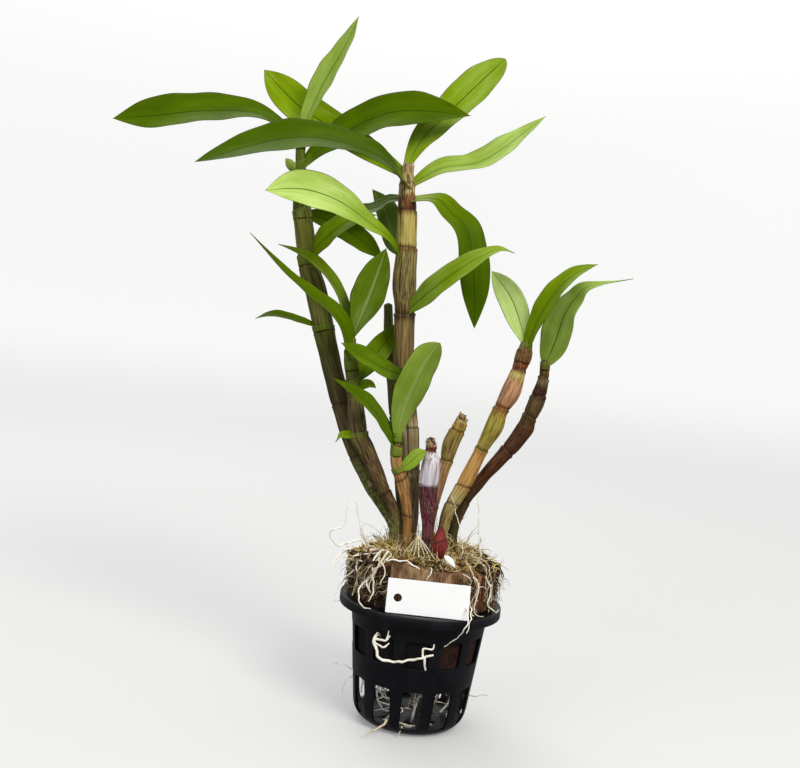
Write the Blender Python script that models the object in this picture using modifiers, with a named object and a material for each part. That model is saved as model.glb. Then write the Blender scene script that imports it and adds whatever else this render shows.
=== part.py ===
# Dendrobium orchid standing in a black net pot.
# Frame: the origin is the middle of the pot's underside, +Z up, -Y towards the front, where the label leans.
# Sizes are written in millimetres and turned into metres when a mesh is made.

import math
import random

import bmesh
import bpy
from mathutils import Vector, noise

MM = 0.001
GAP = 0.3                 # clearance between neighbouring pieces

# Net pot
POT_HEIGHT = 77.0
POT_WALL = 1.6
POT_TOP_RADIUS = 43.0     # outside of the wall under the rim
POT_BOTTOM_RADIUS = 34.2
POT_EDGE_ROUND = 12.5     # rounded edge between wall and floor
RIM_RADIUS = 50.0
RIM_DROP = 5.8            # height of the skirt that hangs from the rim
POT_STEPS = 24
SLOT_COUNT = 12
UPPER_SLOT = (44.5, 60.5, 14.0)   # bottom, top, width
LOWER_SLOT = (5.5, 29.5, 11.8)
DRAIN_COUNT = 6
DRAIN_RADIUS = 3.5
DRAIN_CIRCLE = 15.0

# Husk, moss and label
HUSK_BOTTOM = 37.0
HUSK_TOP = 100.0
HUSK_NECK_RADIUS = 38.0   # above the rim, inside the ring of chunks
CHUNK_COUNT = 21
SLAB_INNER, SLAB_OUTER = 32.0, 41.4
SLAB_ANGLES = (-30.0, 46.0)       # from the front, positive towards +X
SLAB_HEIGHTS = (78.0, 105.5)
MOSS_RADIUS = 31.0
MOSS_HEIGHT = 6.5
LABEL_SIZE = (48.0, 0.8, 20.0)
LABEL_HOLE_RADIUS = 2.4
LABEL_LEAN = 4.0          # degrees backwards

CANE_FOOT = 99.5          # height of the canes' lower ends, in the rhizome
LEAF_THICKNESS = 0.9

# Canes: joints from the foot up, each (x, y, z, radius)
CANES = {
    "cane_tall_left": [
        (-18, 6, CANE_FOOT, 3.0), (-20, 5, 110, 3.1), (-23, 4, 122, 3.2), (-40, 5, 144, 3.8),
        (-55, 6, 173, 5.5), (-71, 8, 215, 6.2), (-85, 10, 258, 6.7), (-91, 11, 273, 6.3),
        (-99, 12, 306, 5.6), (-102, 12, 320, 3.8), (-103, 12, 331, 3.2), (-105, 12, 356, 2.7)],
    "cane_second_left": [
        (-20, -1.5, CANE_FOOT, 2.6), (-20, -4, 112, 2.7), (-22, -5, 129, 2.8), (-30, -6, 143, 3.7),
        (-43, -6, 165, 5.2), (-49, -6, 175, 5.6), (-54, -6, 200, 4.6), (-58, -6, 217, 3.8),
        (-60, -6, 232, 2.9)],
    "cane_centre": [
        (-9, 5, CANE_FOOT, 3.0), (-10, 6, 110, 3.1), (-10, 6, 123, 3.3), (-14, 7, 154, 5.0),
        (-18, 8, 180, 5.5), (-25, 8, 213, 5.9), (-29, 8, 253, 6.4), (-31, 8, 269, 7.4),
        (-32, 7, 291, 6.4), (-34, 6, 313, 5.8), (-36, 6, 330, 4.7), (-37, 7, 343, 2.6)],
    "cane_small_front": [
        (-13, -3.5, CANE_FOOT, 2.5), (-13, -5, 112, 2.6), (-14, -7, 129, 2.8), (-19, -8, 148, 3.9),
        (-24, -9, 160, 3.6), (-25, -10, 170, 3.0), (-25, -10, 178, 2.1)],
    "cane_banded": [
        (-1, -3, CANE_FOOT, 2.8), (-1, -7, 112, 3.0), (-1, -9, 124, 3.3), (-2, -9, 135, 4.9),
        (-3, -9, 146, 5.7), (-3, -10, 162, 5.5), (-4, -10, 168, 3.7), (-4, -10, 172, 3.4),
        (-5, -10, 177, 2.1)],
    "cane_tan": [
        (0, 4.5, CANE_FOOT, 2.6), (1, 7, 112, 2.7), (2, 8, 129, 2.8), (5, 8, 153, 3.7),
        (7, 9, 162, 4.1), (9, 9, 174, 5.1), (13, 9, 185, 4.1), (14, 9, 192, 1.9)],
    "cane_right_inner": [
        (9, -1, CANE_FOOT, 2.8), (9, -2, 110, 3.0), (9, -2, 121, 3.1), (12, -2, 135, 3.9),
        (20, -3, 153, 4.6), (27, -4, 173, 3.9), (33, -5, 188, 5.5), (36, -5, 199, 4.6),
        (41, -5, 211, 5.8), (44, -6, 224, 4.5), (46, -6, 233, 4.6), (47, -6, 241, 2.9)],
    "cane_right_outer": [
        (18, 5, CANE_FOOT, 2.8), (16, 6, 112, 2.9), (17, 7, 125, 3.1), (22, 6, 140, 3.3),
        (32, 4, 157, 3.8), (44, 2, 174, 4.6), (52, 1, 187, 5.4), (54, 0, 194, 4.4), (57, -1, 204, 4.9),
        (60, -2, 219, 3.4), (60, -2, 231, 2.4)],
    "cane_back": [
        (-13, 13, CANE_FOOT, 2.9), (-15, 16, 112, 3.1), (-18, 20, 130, 3.2), (-23, 23, 160, 3.3),
        (-30, 26, 196, 3.5), (-36, 28, 227, 3.2), (-40, 28, 256, 2.8)],
    "bud_shoot": [
        (7, -8.5, CANE_FOOT, 2.6), (7, -14, 101.5, 3.4), (7, -18, 107, 4.0), (7, -19, 113, 4.9),
        (7, -18, 119, 3.8), (7, -17, 125, 1.3)],
}
RHIZOME = [(-23, 3, 97.5, 5.0), (-14, 4, 97.5, 6.2), (-5, 1, 97.5, 6.2), (4, 1, 97.5, 6.2),
           (12, 1, 97.5, 6.2), (21, 5, 97.5, 4.6)]

# Leaves: the cane that carries each one, its midrib from the cane out, its width, the direction across the
# blade at its foot and at its tip, how far the edges rise as a channel, how far out it is widest, and what
# its outline has of its own for blade_half_width
LEAVES = {
    "leaf_tall_left": (
        "cane_tall_left", [(-104, 12, 349), (-129, 4, 362), (-162, -4, 359),
                           (-190, -10, 352), (-214, -14, 347)],
        28, (2, 20, 9), (2, 9, 22), 0.28, 0.6, dict(tip=1.4)),
    "leaf_tall_upright": (
        "cane_tall_left", [(-105, 12, 354), (-96, 10, 381), (-85, 6, 404), (-80, 4, 415), (-76, 2, 427)],
        21, (-11, 12, 4), (-11, 12, 4), 0.25, 0.45, {}),
    "leaf_tall_right": (
        "cane_tall_left", [(-103, 12, 334), (-84, 10, 353), (-48, 6, 373), (-2, -2, 374)],
        28, (-6, 12, 20), (-3, 12, 20), 0.22, 0.55, {}),
    "leaf_tall_middle": (
        "cane_tall_left", [(-92, 11, 278), (-85, 4, 288), (-75, -1, 298), (-64, -4, 305), (-52, -5, 308)],
        19, (-9, 12, 13), (-4, 14, 12), 0.20, 0.45, {}),
    "leaf_tall_back": (
        "cane_tall_left", [(-99, 12, 306), (-82, 21, 304), (-64, 27, 296), (-46, 26, 284)],
        18, (4, 8, 14), (4, 8, 14), 0.20, 0.5, {}),
    "leaf_tall_curl": (
        "cane_tall_left", [(-78, 9, 236), (-93, 5, 240), (-108, 0, 242), (-119, -4, 238)],
        7, (0, 6, 5), (0, 6, 5), 0.20, 0.5, {}),
    "leaf_tall_bract": (
        "cane_tall_left", [(-104, 11, 331), (-108, 8, 334), (-110, 7, 336), (-112, 6, 338)],
        6, (4, 1, 3), (4, 1, 3), 0.20, 0.5, {}),
    "leaf_second_wide": (
        "cane_second_left", [(-60, -6, 231), (-53, -8, 253), (-48, -10, 272), (-44, -14, 288)],
        22, (-23, -9, 1), (-23, -9, 1), 0.18, 0.5, dict(start=1.4, foot=0.15)),
    "leaf_second_long": (
        "cane_second_left", [(-58, -6, 216), (-66, -18, 241), (-87, -25, 257),
                             (-102, -27, 268), (-123, -30, 287)],
        17, (7, 16, 3), (7, 16, 3), 0.30, 0.28, dict(tip=1, sharp=1.3)),
    "leaf_second_upper": (
        "cane_second_left", [(-59, -6, 220), (-69, -1, 256), (-87, -7, 276), (-109, -10, 284)],
        16, (2, 14, 7), (2, 14, 7), 0.25, 0.45, {}),
    "leaf_second_right": (
        "cane_second_left", [(-55, -6, 205), (-46, 5, 220), (-39, 18, 232), (-31, 22, 246)],
        16, (12, -6, -8), (12, -6, -8), 0.18, 0.5, {}),
    "leaf_second_curl": (
        "cane_second_left", [(-55, -6, 201), (-49, -10, 205), (-45, -12, 206), (-41, -13, 204)],
        6, (-2, 2, 5), (-2, 2, 5), 0.15, 0.5, {}),
    "leaf_second_bract": (
        "cane_second_left", [(-49, -6, 174), (-54, -10, 174), (-59, -12, 173), (-62, -13, 169)],
        6, (2, 4, 4), (2, 4, 4), 0.15, 0.5, {}),
    "leaf_centre_up_left": (
        "cane_centre", [(-36, 7, 335), (-75, 20, 357), (-109, 31, 375), (-136, 38, 398)],
        23, (13, 5, 19), (13, 5, 19), 0.18, 0.68, dict(tip=1.8)),
    "leaf_centre_arching": (
        "cane_centre", [(-36, 6, 330), (-58, -20, 342), (-100, -42, 342), (-153, -58, 320)],
        28, (-6, 18, 15), (-6, 16, 17), 0.24, 0.5, dict(tip=1.6, foot=0.45)),
    "leaf_centre_up_right": (
        "cane_centre", [(-37, 7, 341), (-29, 12, 360), (-5, 20, 391), (17, 26, 418)],
        25, (-16, 12, 15), (-16, 12, 15), 0.20, 0.6, dict(tip=2.4)),
    "leaf_centre_right": (
        "cane_centre", [(-36, 7, 327), (-17, 10, 342), (11, 16, 352), (46, 22, 384)],
        20, (-7, 14, 12), (-7, 14, 12), 0.25, 0.5, {}),
    "leaf_centre_wide": (
        "cane_centre", [(-31, 7, 281), (-43, -4, 295), (-56, -16, 302),
                        (-73, -33, 310), (-93, -46, 313), (-113, -56, 309)],
        26, (-3, 12, 22), (-3, 12, 22), 0.18, 0.64, dict(start=2.6, foot=0.24, tip=1.7)),
    "leaf_centre_hanging": (
        "cane_centre", [(-35, 6, 320), (-17, 0, 322), (-7, -3, 314), (3, -6, 305),
                        (8, -8, 290), (11, -9, 272), (14, -10, 246)],
        21, (5, 10, 8), (19, 5, 4), 0.18, 0.6, dict(foot=0.4)),
    "leaf_centre_lower_right": (
        "cane_centre", [(-29, 8, 251), (-15, -14, 265), (-3, -26, 276),
                        (10, -34, 286), (21, -37, 292), (30, -39, 291)],
        16, (-11, 14, 9), (-11, 14, 9), 0.22, 0.45, {}),
    "leaf_centre_high_left": (
        "cane_centre", [(-34, 6, 321), (-45, 10, 320), (-55, 14, 314), (-76, 18, 310)],
        14, (0, 10, 8), (0, 10, 8), 0.20, 0.5, {}),
    "leaf_centre_back_left": (
        "cane_centre", [(-32, 8, 287), (-41, 19, 298), (-47, 24, 313), (-58, 28, 328)],
        18, (9, -6, 3), (9, -6, 3), 0.20, 0.5, {}),
    "leaf_centre_low_left": (
        "cane_centre", [(-25, 8, 213), (-35, -10, 215), (-48, -20, 221), (-64, -26, 229)],
        15, (3, 10, 7), (3, 10, 7), 0.20, 0.65, {}),
    "leaf_small_left": (
        "cane_small_front", [(-25, -10, 167), (-34, -15, 182), (-46, -24, 196), (-66, -32, 208)],
        13, (2, 10, 8), (2, 10, 8), 0.25, 0.4, {}),
    "leaf_small_right": (
        "cane_small_front", [(-25, -10, 176), (-24, -12, 188), (-19, -17, 208),
                             (-13, -19, 224), (-6, -20, 235)],
        22, (-15, -9, 7), (-15, -9, 7), 0.15, 0.55, dict(tip=2.4)),
    "leaf_small_low": (
        "cane_small_front", [(-22, -9, 156), (-16, -13, 161), (-12, -15, 166), (-7, -17, 170)],
        9, (-6, 4, 6), (-6, 4, 6), 0.20, 0.5, dict(tip=2)),
    "leaf_inner_left": (
        "cane_right_inner", [(47, -6, 239), (43, -1, 251), (35, 4, 268), (22, 8, 283)],
        16, (-17, 6, 1), (-17, 6, 1), 0.20, 0.5, dict(tip=1.7)),
    "leaf_inner_right": (
        "cane_right_inner", [(46, -6, 232), (51, -13, 254), (59, -19, 272), (69, -22, 284), (81, -24, 291)],
        17, (-9, 16, 5), (-9, 16, 5), 0.25, 0.5, dict(tip=1.7)),
    "leaf_outer": (
        "cane_right_outer", [(60, -2, 229), (64, -8, 244), (67, -11, 260),
                             (72, -14, 270), (79, -17, 278), (103, -22, 285)],
        22, (-16, 13, 4), (-10, 17, 5), 0.20, 0.28, dict(tip=1, sharp=2, start=0.8)),
}
NARROW_LEAF = 15          # leaves up to this width have fewer faces

# Roots drawn by hand: a name for each bunch, then the route and radius of each root in it
DRAWN_ROOTS = {
    "roots_air_left": [
        ([(-33, 4, 99), (-37, 2, 108), (-41, 0, 115), (-46, -2, 132)], 0.9),
        ([(-33, 4, 99), (-42, 2, 108), (-54, -2, 104), (-60, -5, 113), (-52, -5, 118), (-51, -4, 134)], 0.8),
        ([(-33, 4, 99), (-44, 3, 103), (-54, -4, 97), (-55, -15, 91)], 0.8)],
    "roots_air_right": [
        ([(31, 3, 99), (34, 1, 107), (32, 0, 118), (29, 2, 144)], 0.8),
        ([(31, 3, 99), (40, 2, 105), (48, -3, 98), (50, -11, 90)], 0.8)],
    "root_pot_front": [
        ([(-22, -31, 54), (-23.5, -36.5, 55), (-23, -42.5, 51), (-18, -45, 49), (-10, -46.2, 50),
          (-2, -46.2, 53), (4, -44, 54), (4.5, -36, 54)], 1.2)],
}
# Roots laid by rule over the left and the right of the husk: first and last direction in degrees, and count
DRAPED_ROOTS = {
    "roots_left": (200.0, 237.0, 7, (-27, -12, 105)),
    "roots_right": (318.0, 338.0, 4, (22, -9, 105)),
}
LOWER_ROOT_COUNT = 5
CROWN_RADIUS = 2.4


def empty_scene():
    for old in list(bpy.context.scene.objects):
        bpy.data.objects.remove(old, do_unlink=True)


def new_collection(name):
    group = bpy.data.collections.new(name)
    bpy.context.scene.collection.children.link(group)
    return group


empty_scene()
ORCHID = new_collection("dendrobium_orchid")
CUTTERS = new_collection("cutters")


def principled(name, colour, roughness):
    material = bpy.data.materials.new(name)
    material.use_nodes = True
    shader = material.node_tree.nodes["Principled BSDF"]
    shader.inputs["Base Color"].default_value = (*colour, 1.0)
    shader.inputs["Roughness"].default_value = roughness
    return material


def place(name, mesh, group, material=None):
    piece = bpy.data.objects.new(name, mesh)
    group.objects.link(piece)
    if material:
        mesh.materials.clear()
        mesh.materials.append(material)
    if group is CUTTERS:
        piece.hide_render = True
        piece.display_type = "WIRE"
    return piece


def as_mesh(source, name, group, material=None):
    """Turn an object with live modifiers, or a curve, into one welded mesh object and remove the first."""
    graph = bpy.context.evaluated_depsgraph_get()
    graph.update()
    mesh = bpy.data.meshes.new_from_object(source.evaluated_get(graph))
    mesh.name = name
    built = bmesh.new()
    built.from_mesh(mesh)
    bmesh.ops.remove_doubles(built, verts=built.verts, dist=0.00001)
    built.to_mesh(mesh)
    built.free()
    matrix = source.matrix_world.copy()
    bpy.data.objects.remove(source, do_unlink=True)
    piece = place(name, mesh, group, material)
    piece.matrix_world = matrix
    return piece


def smooth_path(points, steps):
    """Points along a Catmull-Rom curve through points of any length, with steps samples a span."""
    count = len(points)
    path = []
    for i in range(count - 1):
        before = points[max(i - 1, 0)]
        start, end = points[i], points[i + 1]
        after = points[min(i + 2, count - 1)]
        for k in range(steps):
            t = k / steps
            path.append(tuple(
                0.5 * (2 * b + (c - a) * t + (2 * a - 5 * b + 4 * c - d) * t ** 2
                       + (3 * b - a - 3 * c + d) * t ** 3)
                for a, b, c, d in zip(before, start, end, after)))
    path.append(tuple(points[-1]))
    return path


def tube(name, path, group, sides=8, extra=0.0, material=None):
    """A closed tube along path, whose points are (x, y, z, radius)."""
    curve = bpy.data.curves.new(name, "CURVE")
    curve.dimensions = "3D"
    curve.bevel_depth = MM
    curve.bevel_resolution = (sides - 4) // 2
    curve.use_fill_caps = True
    curve.render_resolution_u = 0
    spline = curve.splines.new("POLY")
    spline.points.add(len(path) - 1)
    for point, (x, y, z, radius) in zip(spline.points, path):
        point.co = (x * MM, y * MM, z * MM, 1.0)
        point.radius = radius + extra
    source = bpy.data.objects.new(name, curve)
    bpy.context.scene.collection.objects.link(source)
    return as_mesh(source, name, group, material)


def longer(path):
    """The same path with both ends moved out by the gap."""
    ends = []
    for end, inner in ((path[0], path[1]), (path[-1], path[-2])):
        place_out = Vector(end[:3]) + (Vector(end[:3]) - Vector(inner[:3])).normalized() * GAP
        ends.append((*place_out, end[3]))
    return [ends[0]] + list(path[1:-1]) + [ends[1]]


def ball(name, centre, radius):
    built = bmesh.new()
    bmesh.ops.create_icosphere(built, subdivisions=1, radius=radius * MM)
    bmesh.ops.translate(built, verts=built.verts, vec=Vector(centre) * MM)
    mesh = bpy.data.meshes.new(name)
    built.to_mesh(mesh)
    built.free()
    return place(name, mesh, CUTTERS)


def joined(name, pieces, group, material=None):
    """One body made of overlapping pieces by a Boolean union."""
    others = new_collection(name + "_pieces")
    first = pieces[0]
    for piece in pieces[1:]:
        for owner in list(piece.users_collection):
            owner.objects.unlink(piece)
        others.objects.link(piece)
    if len(pieces) > 1:
        union = first.modifiers.new("union", "BOOLEAN")
        union.operation = "UNION"
        union.solver = "MANIFOLD"
        union.operand_type = "COLLECTION"
        union.collection = others
    result = as_mesh(first, name, group, material)
    for piece in list(others.objects):
        bpy.data.objects.remove(piece, do_unlink=True)
    bpy.data.collections.remove(others)
    return result


def cut(piece, cutter, solver="EXACT"):
    """Take an object, or every object of a collection, out of a piece."""
    modifier = piece.modifiers.new("cut", "BOOLEAN")
    modifier.operation = "DIFFERENCE"
    modifier.solver = solver
    if isinstance(cutter, bpy.types.Collection):
        modifier.operand_type = "COLLECTION"
        modifier.collection = cutter
    else:
        modifier.object = cutter


def lathe(name, profile, steps, group, material=None):
    """A solid turned about Z from a profile of (radius, height) points, listed from the top down."""
    mesh = bpy.data.meshes.new(name)
    mesh.from_pydata([(r * MM, 0.0, z * MM) for r, z in profile],
                     [(i, i + 1) for i in range(len(profile) - 1)], [])
    source = bpy.data.objects.new(name, mesh)
    bpy.context.scene.collection.objects.link(source)
    screw = source.modifiers.new("turn", "SCREW")
    screw.steps = screw.render_steps = steps
    screw.use_merge_vertices = True
    screw.merge_threshold = 0.00001
    return as_mesh(source, name, group, material)


def main_body(piece, material):
    """Apply a piece's cuts and drop the loose crumbs that they leave."""
    name = piece.name
    piece.name = name + "_uncut"
    whole = as_mesh(piece, name, ORCHID, material)
    built = bmesh.new()
    built.from_mesh(whole.data)
    left = set(built.verts)
    bodies = []
    while left:
        body = set()
        edge = [left.pop()]
        while edge:
            vertex = edge.pop()
            body.add(vertex)
            for link in vertex.link_edges:
                other = link.other_vert(vertex)
                if other in left:
                    left.remove(other)
                    edge.append(other)
        bodies.append(body)
    bodies.sort(key=len)
    for crumb in bodies[:-1]:
        bmesh.ops.delete(built, geom=list(crumb), context="VERTS")
    built.to_mesh(whole.data)
    built.free()
    return whole


def box(name, size, centre, turn=(0.0, 0.0, 0.0)):
    """A plain block in millimetres, turned about X, Y and Z in degrees."""
    built = bmesh.new()
    bmesh.ops.create_cube(built, size=1.0)
    for vertex in built.verts:
        vertex.co = Vector(c * s * MM for c, s in zip(vertex.co, size))
    mesh = bpy.data.meshes.new(name)
    built.to_mesh(mesh)
    built.free()
    piece = place(name, mesh, CUTTERS)
    piece.location = [c * MM for c in centre]
    piece.rotation_euler = [math.radians(a) for a in turn]
    return piece


def around(radius, degrees):
    """X and Y at a distance from the axis, in a direction measured from the front towards +X."""
    angle = math.radians(degrees)
    return radius * math.sin(angle), -radius * math.cos(angle)


def wall_radius(z):
    """Outside radius of the pot's straight wall at a height."""
    return POT_BOTTOM_RADIUS + (POT_TOP_RADIUS - POT_BOTTOM_RADIUS) * z / POT_HEIGHT


def net_pot():
    arc = []
    for degrees in (20, 45, 70):
        angle = math.radians(degrees)
        arc.append((math.cos(angle), math.sin(angle)))
    foot = POT_BOTTOM_RADIUS - POT_EDGE_ROUND + 1.2
    inner_round = POT_EDGE_ROUND - POT_WALL
    skirt = POT_HEIGHT - RIM_DROP
    profile = [(RIM_RADIUS, POT_HEIGHT - 0.8), (RIM_RADIUS, skirt + 0.5), (RIM_RADIUS - 0.5, skirt),
               (RIM_RADIUS - 1.6, skirt), (RIM_RADIUS - 1.6, POT_HEIGHT - POT_WALL),
               (wall_radius(POT_HEIGHT - POT_WALL), POT_HEIGHT - POT_WALL),
               (wall_radius(POT_EDGE_ROUND), POT_EDGE_ROUND)]
    profile += [(foot + POT_EDGE_ROUND * c, POT_EDGE_ROUND * (1 - s)) for c, s in arc]
    profile += [(foot, 0.0), (0.0, 0.0), (0.0, POT_WALL), (foot, POT_WALL)]
    profile += [(foot + inner_round * c, POT_EDGE_ROUND - inner_round * s) for c, s in reversed(arc)]
    profile += [(wall_radius(POT_EDGE_ROUND) - POT_WALL, POT_EDGE_ROUND),
                (wall_radius(POT_HEIGHT) - POT_WALL, POT_HEIGHT),
                (RIM_RADIUS - 0.8, POT_HEIGHT), (RIM_RADIUS, POT_HEIGHT - 0.8)]
    pot = lathe("net_pot", profile, POT_STEPS, ORCHID, principled("black_pot", (0.02, 0.02, 0.02), 0.4))
    slots = new_collection("pot_slots")
    for low, high, width in (UPPER_SLOT, LOWER_SLOT):
        for i in range(SLOT_COUNT):
            degrees = i * 360.0 / SLOT_COUNT
            x, y = around(wall_radius(low) - 1.0, degrees)
            slot = box("slot", (width, 24.0, high - low), (x, y, (low + high) / 2), (0, 0, degrees))
            CUTTERS.objects.unlink(slot)
            slots.objects.link(slot)
    for i in range(DRAIN_COUNT):
        x, y = around(DRAIN_CIRCLE, (i + 0.5) * 360.0 / DRAIN_COUNT)
        drain = tube("drain", [(x, y, -2.0, DRAIN_RADIUS), (x, y, 4.0, DRAIN_RADIUS)], slots, 8)
        drain.hide_render = True
        drain.display_type = "WIRE"
    cut(pot, slots)
    return pot


CANE_COLOURS = {
    "cane_tall_left": (0.24, 0.26, 0.10),
    "cane_second_left": (0.22, 0.20, 0.10),
    "cane_centre": (0.45, 0.36, 0.20),
    "cane_small_front": (0.42, 0.22, 0.10),
    "cane_banded": (0.16, 0.05, 0.07),
    "cane_tan": (0.45, 0.32, 0.14),
    "cane_right_inner": (0.42, 0.22, 0.14),
    "cane_right_outer": (0.30, 0.17, 0.13),
    "cane_back": (0.30, 0.28, 0.12),
    "bud_shoot": (0.35, 0.08, 0.09),
}


def canes():
    """Every cane, and a cutter 0.3 mm larger all round for the holes that it stands in."""
    holes = {}
    for name, joints in CANES.items():
        path = smooth_path(joints, 2)
        tube(name, path, ORCHID, material=principled(name, CANE_COLOURS[name], 0.5))
        holes[name] = tube(name + "_hole", longer(path), CUTTERS, extra=GAP)
    return holes


def blade_half_width(t, widest, foot=0.22, start=1.0, tip=1.3, sharp=1.0):
    """Half-width of a leaf as a share of its greatest, from its foot at t = 0 to its tip at t = 1.

    foot is the share at the foot, start and tip bend the rise and the fall, and sharp draws out the tip.
    """
    rise = foot + (1 - foot) * math.sin(math.pi / 2 * min(1.0, t / widest) ** start)
    fall = math.cos(math.pi / 2 * max(0.0, (t - widest) / (1 - widest)) ** tip)
    return rise * max(fall, 0.0) ** sharp


def leaf(name, midrib, width, across_foot, across_tip, channel, widest, form, hole, material):
    long_steps, wide_steps = (8, 4) if width > NARROW_LEAF else (7, 2)
    spine = smooth_path(midrib, 24)
    built = bmesh.new()
    bmesh.ops.create_grid(built, x_segments=long_steps, y_segments=wide_steps, size=0.5)
    tip = []
    for vertex in built.verts:
        t = vertex.co.x + 0.5
        side = vertex.co.y * 2
        place_on_spine = t * (len(spine) - 1)
        i = min(int(place_on_spine), len(spine) - 2)
        start, end = Vector(spine[i]), Vector(spine[i + 1])
        along = (end - start).normalized()
        across = Vector(across_foot).lerp(Vector(across_tip), t)
        across = (across - along * across.dot(along)).normalized()
        upper = along.cross(across)
        if upper.z < 0:
            upper.negate()
        half = width / 2 * blade_half_width(t, widest, **form)
        point = start.lerp(end, place_on_spine - i)
        point += across * half * side + upper * half * channel * side * side
        vertex.co = point * MM
        if t > 0.999:
            tip.append(vertex)
    bmesh.ops.pointmerge(built, verts=tip, merge_co=Vector(spine[-1]) * MM)
    bmesh.ops.triangulate(built, faces=built.faces)
    mesh = bpy.data.meshes.new(name)
    built.to_mesh(mesh)
    built.free()
    piece = place(name, mesh, ORCHID, material)
    shell = piece.modifiers.new("blade", "SOLIDIFY")
    shell.thickness = LEAF_THICKNESS * MM
    shell.offset = 0.0
    cut(piece, hole)
    return piece


def leaves(holes):
    green = principled("leaf_green", (0.12, 0.27, 0.04), 0.35)
    for name, (cane, *shape) in LEAVES.items():
        leaf(name, *shape, holes[cane], green)


def draped_routes(first, last, count, crown, seed):
    """Roots that spread from a crown over the top of the husk and hang down its outside."""
    draw = random.Random(seed)
    routes = []
    for i in range(count):
        degrees = first + (last - first) * (i + draw.uniform(-0.25, 0.25)) / (count - 1)
        angle = math.radians(degrees)
        radii_heights = ((38, 107), (44.5, 101), (47.5, 90), (48.0 + draw.uniform(0, 1.5), 79.5))
        route = [crown]
        for radius, height in radii_heights:
            turn = angle + draw.uniform(-0.05, 0.05)
            route.append((radius * math.cos(turn), radius * math.sin(turn), height + draw.uniform(-0.8, 0.8)))
        routes.append((route, draw.uniform(0.9, 1.3)))
    return routes


def lower_routes():
    """Roots that hang from the husk's underside into the empty foot of the pot."""
    draw = random.Random(5)
    routes = []
    for i in range(LOWER_ROOT_COUNT):
        degrees = (i + draw.uniform(-0.3, 0.3)) * 360 / LOWER_ROOT_COUNT
        x, y = around(draw.uniform(17, 24), degrees)
        routes.append(([(0, 0, 40), (x * 0.5, y * 0.5, 35), (x, y, 27), (x * 1.15, y * 1.15, 16),
                        (x * 0.9, y * 0.9, 6)], draw.uniform(0.9, 1.4)))
    return routes


def root_bunch(name, routes, material):
    """A bunch of roots fused into one body, and the same bunch 0.3 mm larger as a cutter for its groove."""
    paths = []
    for route, radius in routes:
        places = smooth_path(route, 2)
        paths.append([(*point, radius * (1.0 - 0.35 * k / len(places))) for k, point in enumerate(places)])
    bodies = [tube(name, path, ORCHID, 6) for path in paths]
    grooves = [tube(name, longer(path), CUTTERS, 6, GAP * 1.15) for path in paths]
    if len(routes) > 1:
        crown = routes[0][0][0]
        bodies.append(ball(name, crown, CROWN_RADIUS))
        grooves.append(ball(name, crown, CROWN_RADIUS + GAP * 1.1))
    joined(name, bodies, ORCHID, material)
    return joined(name + "_groove", grooves, CUTTERS)


def roots():
    pale = principled("root_pale", (0.62, 0.56, 0.42), 0.7)
    grooves = []
    for seed, (name, rule) in enumerate(DRAPED_ROOTS.items()):
        grooves.append(root_bunch(name, draped_routes(*rule, seed + 3), pale))
    for name, routes in DRAWN_ROOTS.items():
        grooves.append(root_bunch(name, routes, pale))
    grooves.append(root_bunch("roots_lower", lower_routes(), pale))
    return grooves


def bent_block(name, radii, angles, heights, cuts, group, rough=0.0):
    """A block bent round the pot's axis; its outer face and top may be rough, and slope down to the right."""
    built = bmesh.new()
    bmesh.ops.create_cube(built, size=1.0)
    bmesh.ops.subdivide_edges(built, edges=built.edges, cuts=cuts, use_grid_fill=True)
    for vertex in built.verts:
        u, v, w = (c + 0.5 for c in vertex.co)
        bump = rough * abs(noise.noise((u * 9.0, v * 2.0, w * 2.0)))
        radius = radii[1] + (radii[0] - radii[1]) * v - (1 - v) * 1.2 * bump
        x, y = around(radius, angles[0] + (angles[1] - angles[0]) * u)
        drop = rough * 3.5 * u * max(0.0, w * 2 - 1) + (w > 0.9) * bump * 2.0
        vertex.co = Vector((x, y, heights[0] + (heights[1] - heights[0]) * w - drop)) * MM
    bmesh.ops.triangulate(built, faces=built.faces)
    mesh = bpy.data.meshes.new(name)
    built.to_mesh(mesh)
    built.free()
    return place(name, mesh, group)


def husk_slab():
    """The large block of husk in front, and the room that it needs in the plug."""
    slab = bent_block("husk_slab", (SLAB_INNER, SLAB_OUTER), SLAB_ANGLES, SLAB_HEIGHTS, 4, ORCHID, 1.0)
    slab.data.materials.append(principled("husk_brown", (0.20, 0.11, 0.06), 0.9))
    room = bent_block("slab_room", (SLAB_INNER - 1.5 * GAP, SLAB_OUTER + 9.0),
                      (SLAB_ANGLES[0] - 1.0, SLAB_ANGLES[1] + 1.0),
                      (SLAB_HEIGHTS[0] - GAP, SLAB_HEIGHTS[1] + 9.0), 3, CUTTERS)
    return slab, room


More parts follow.
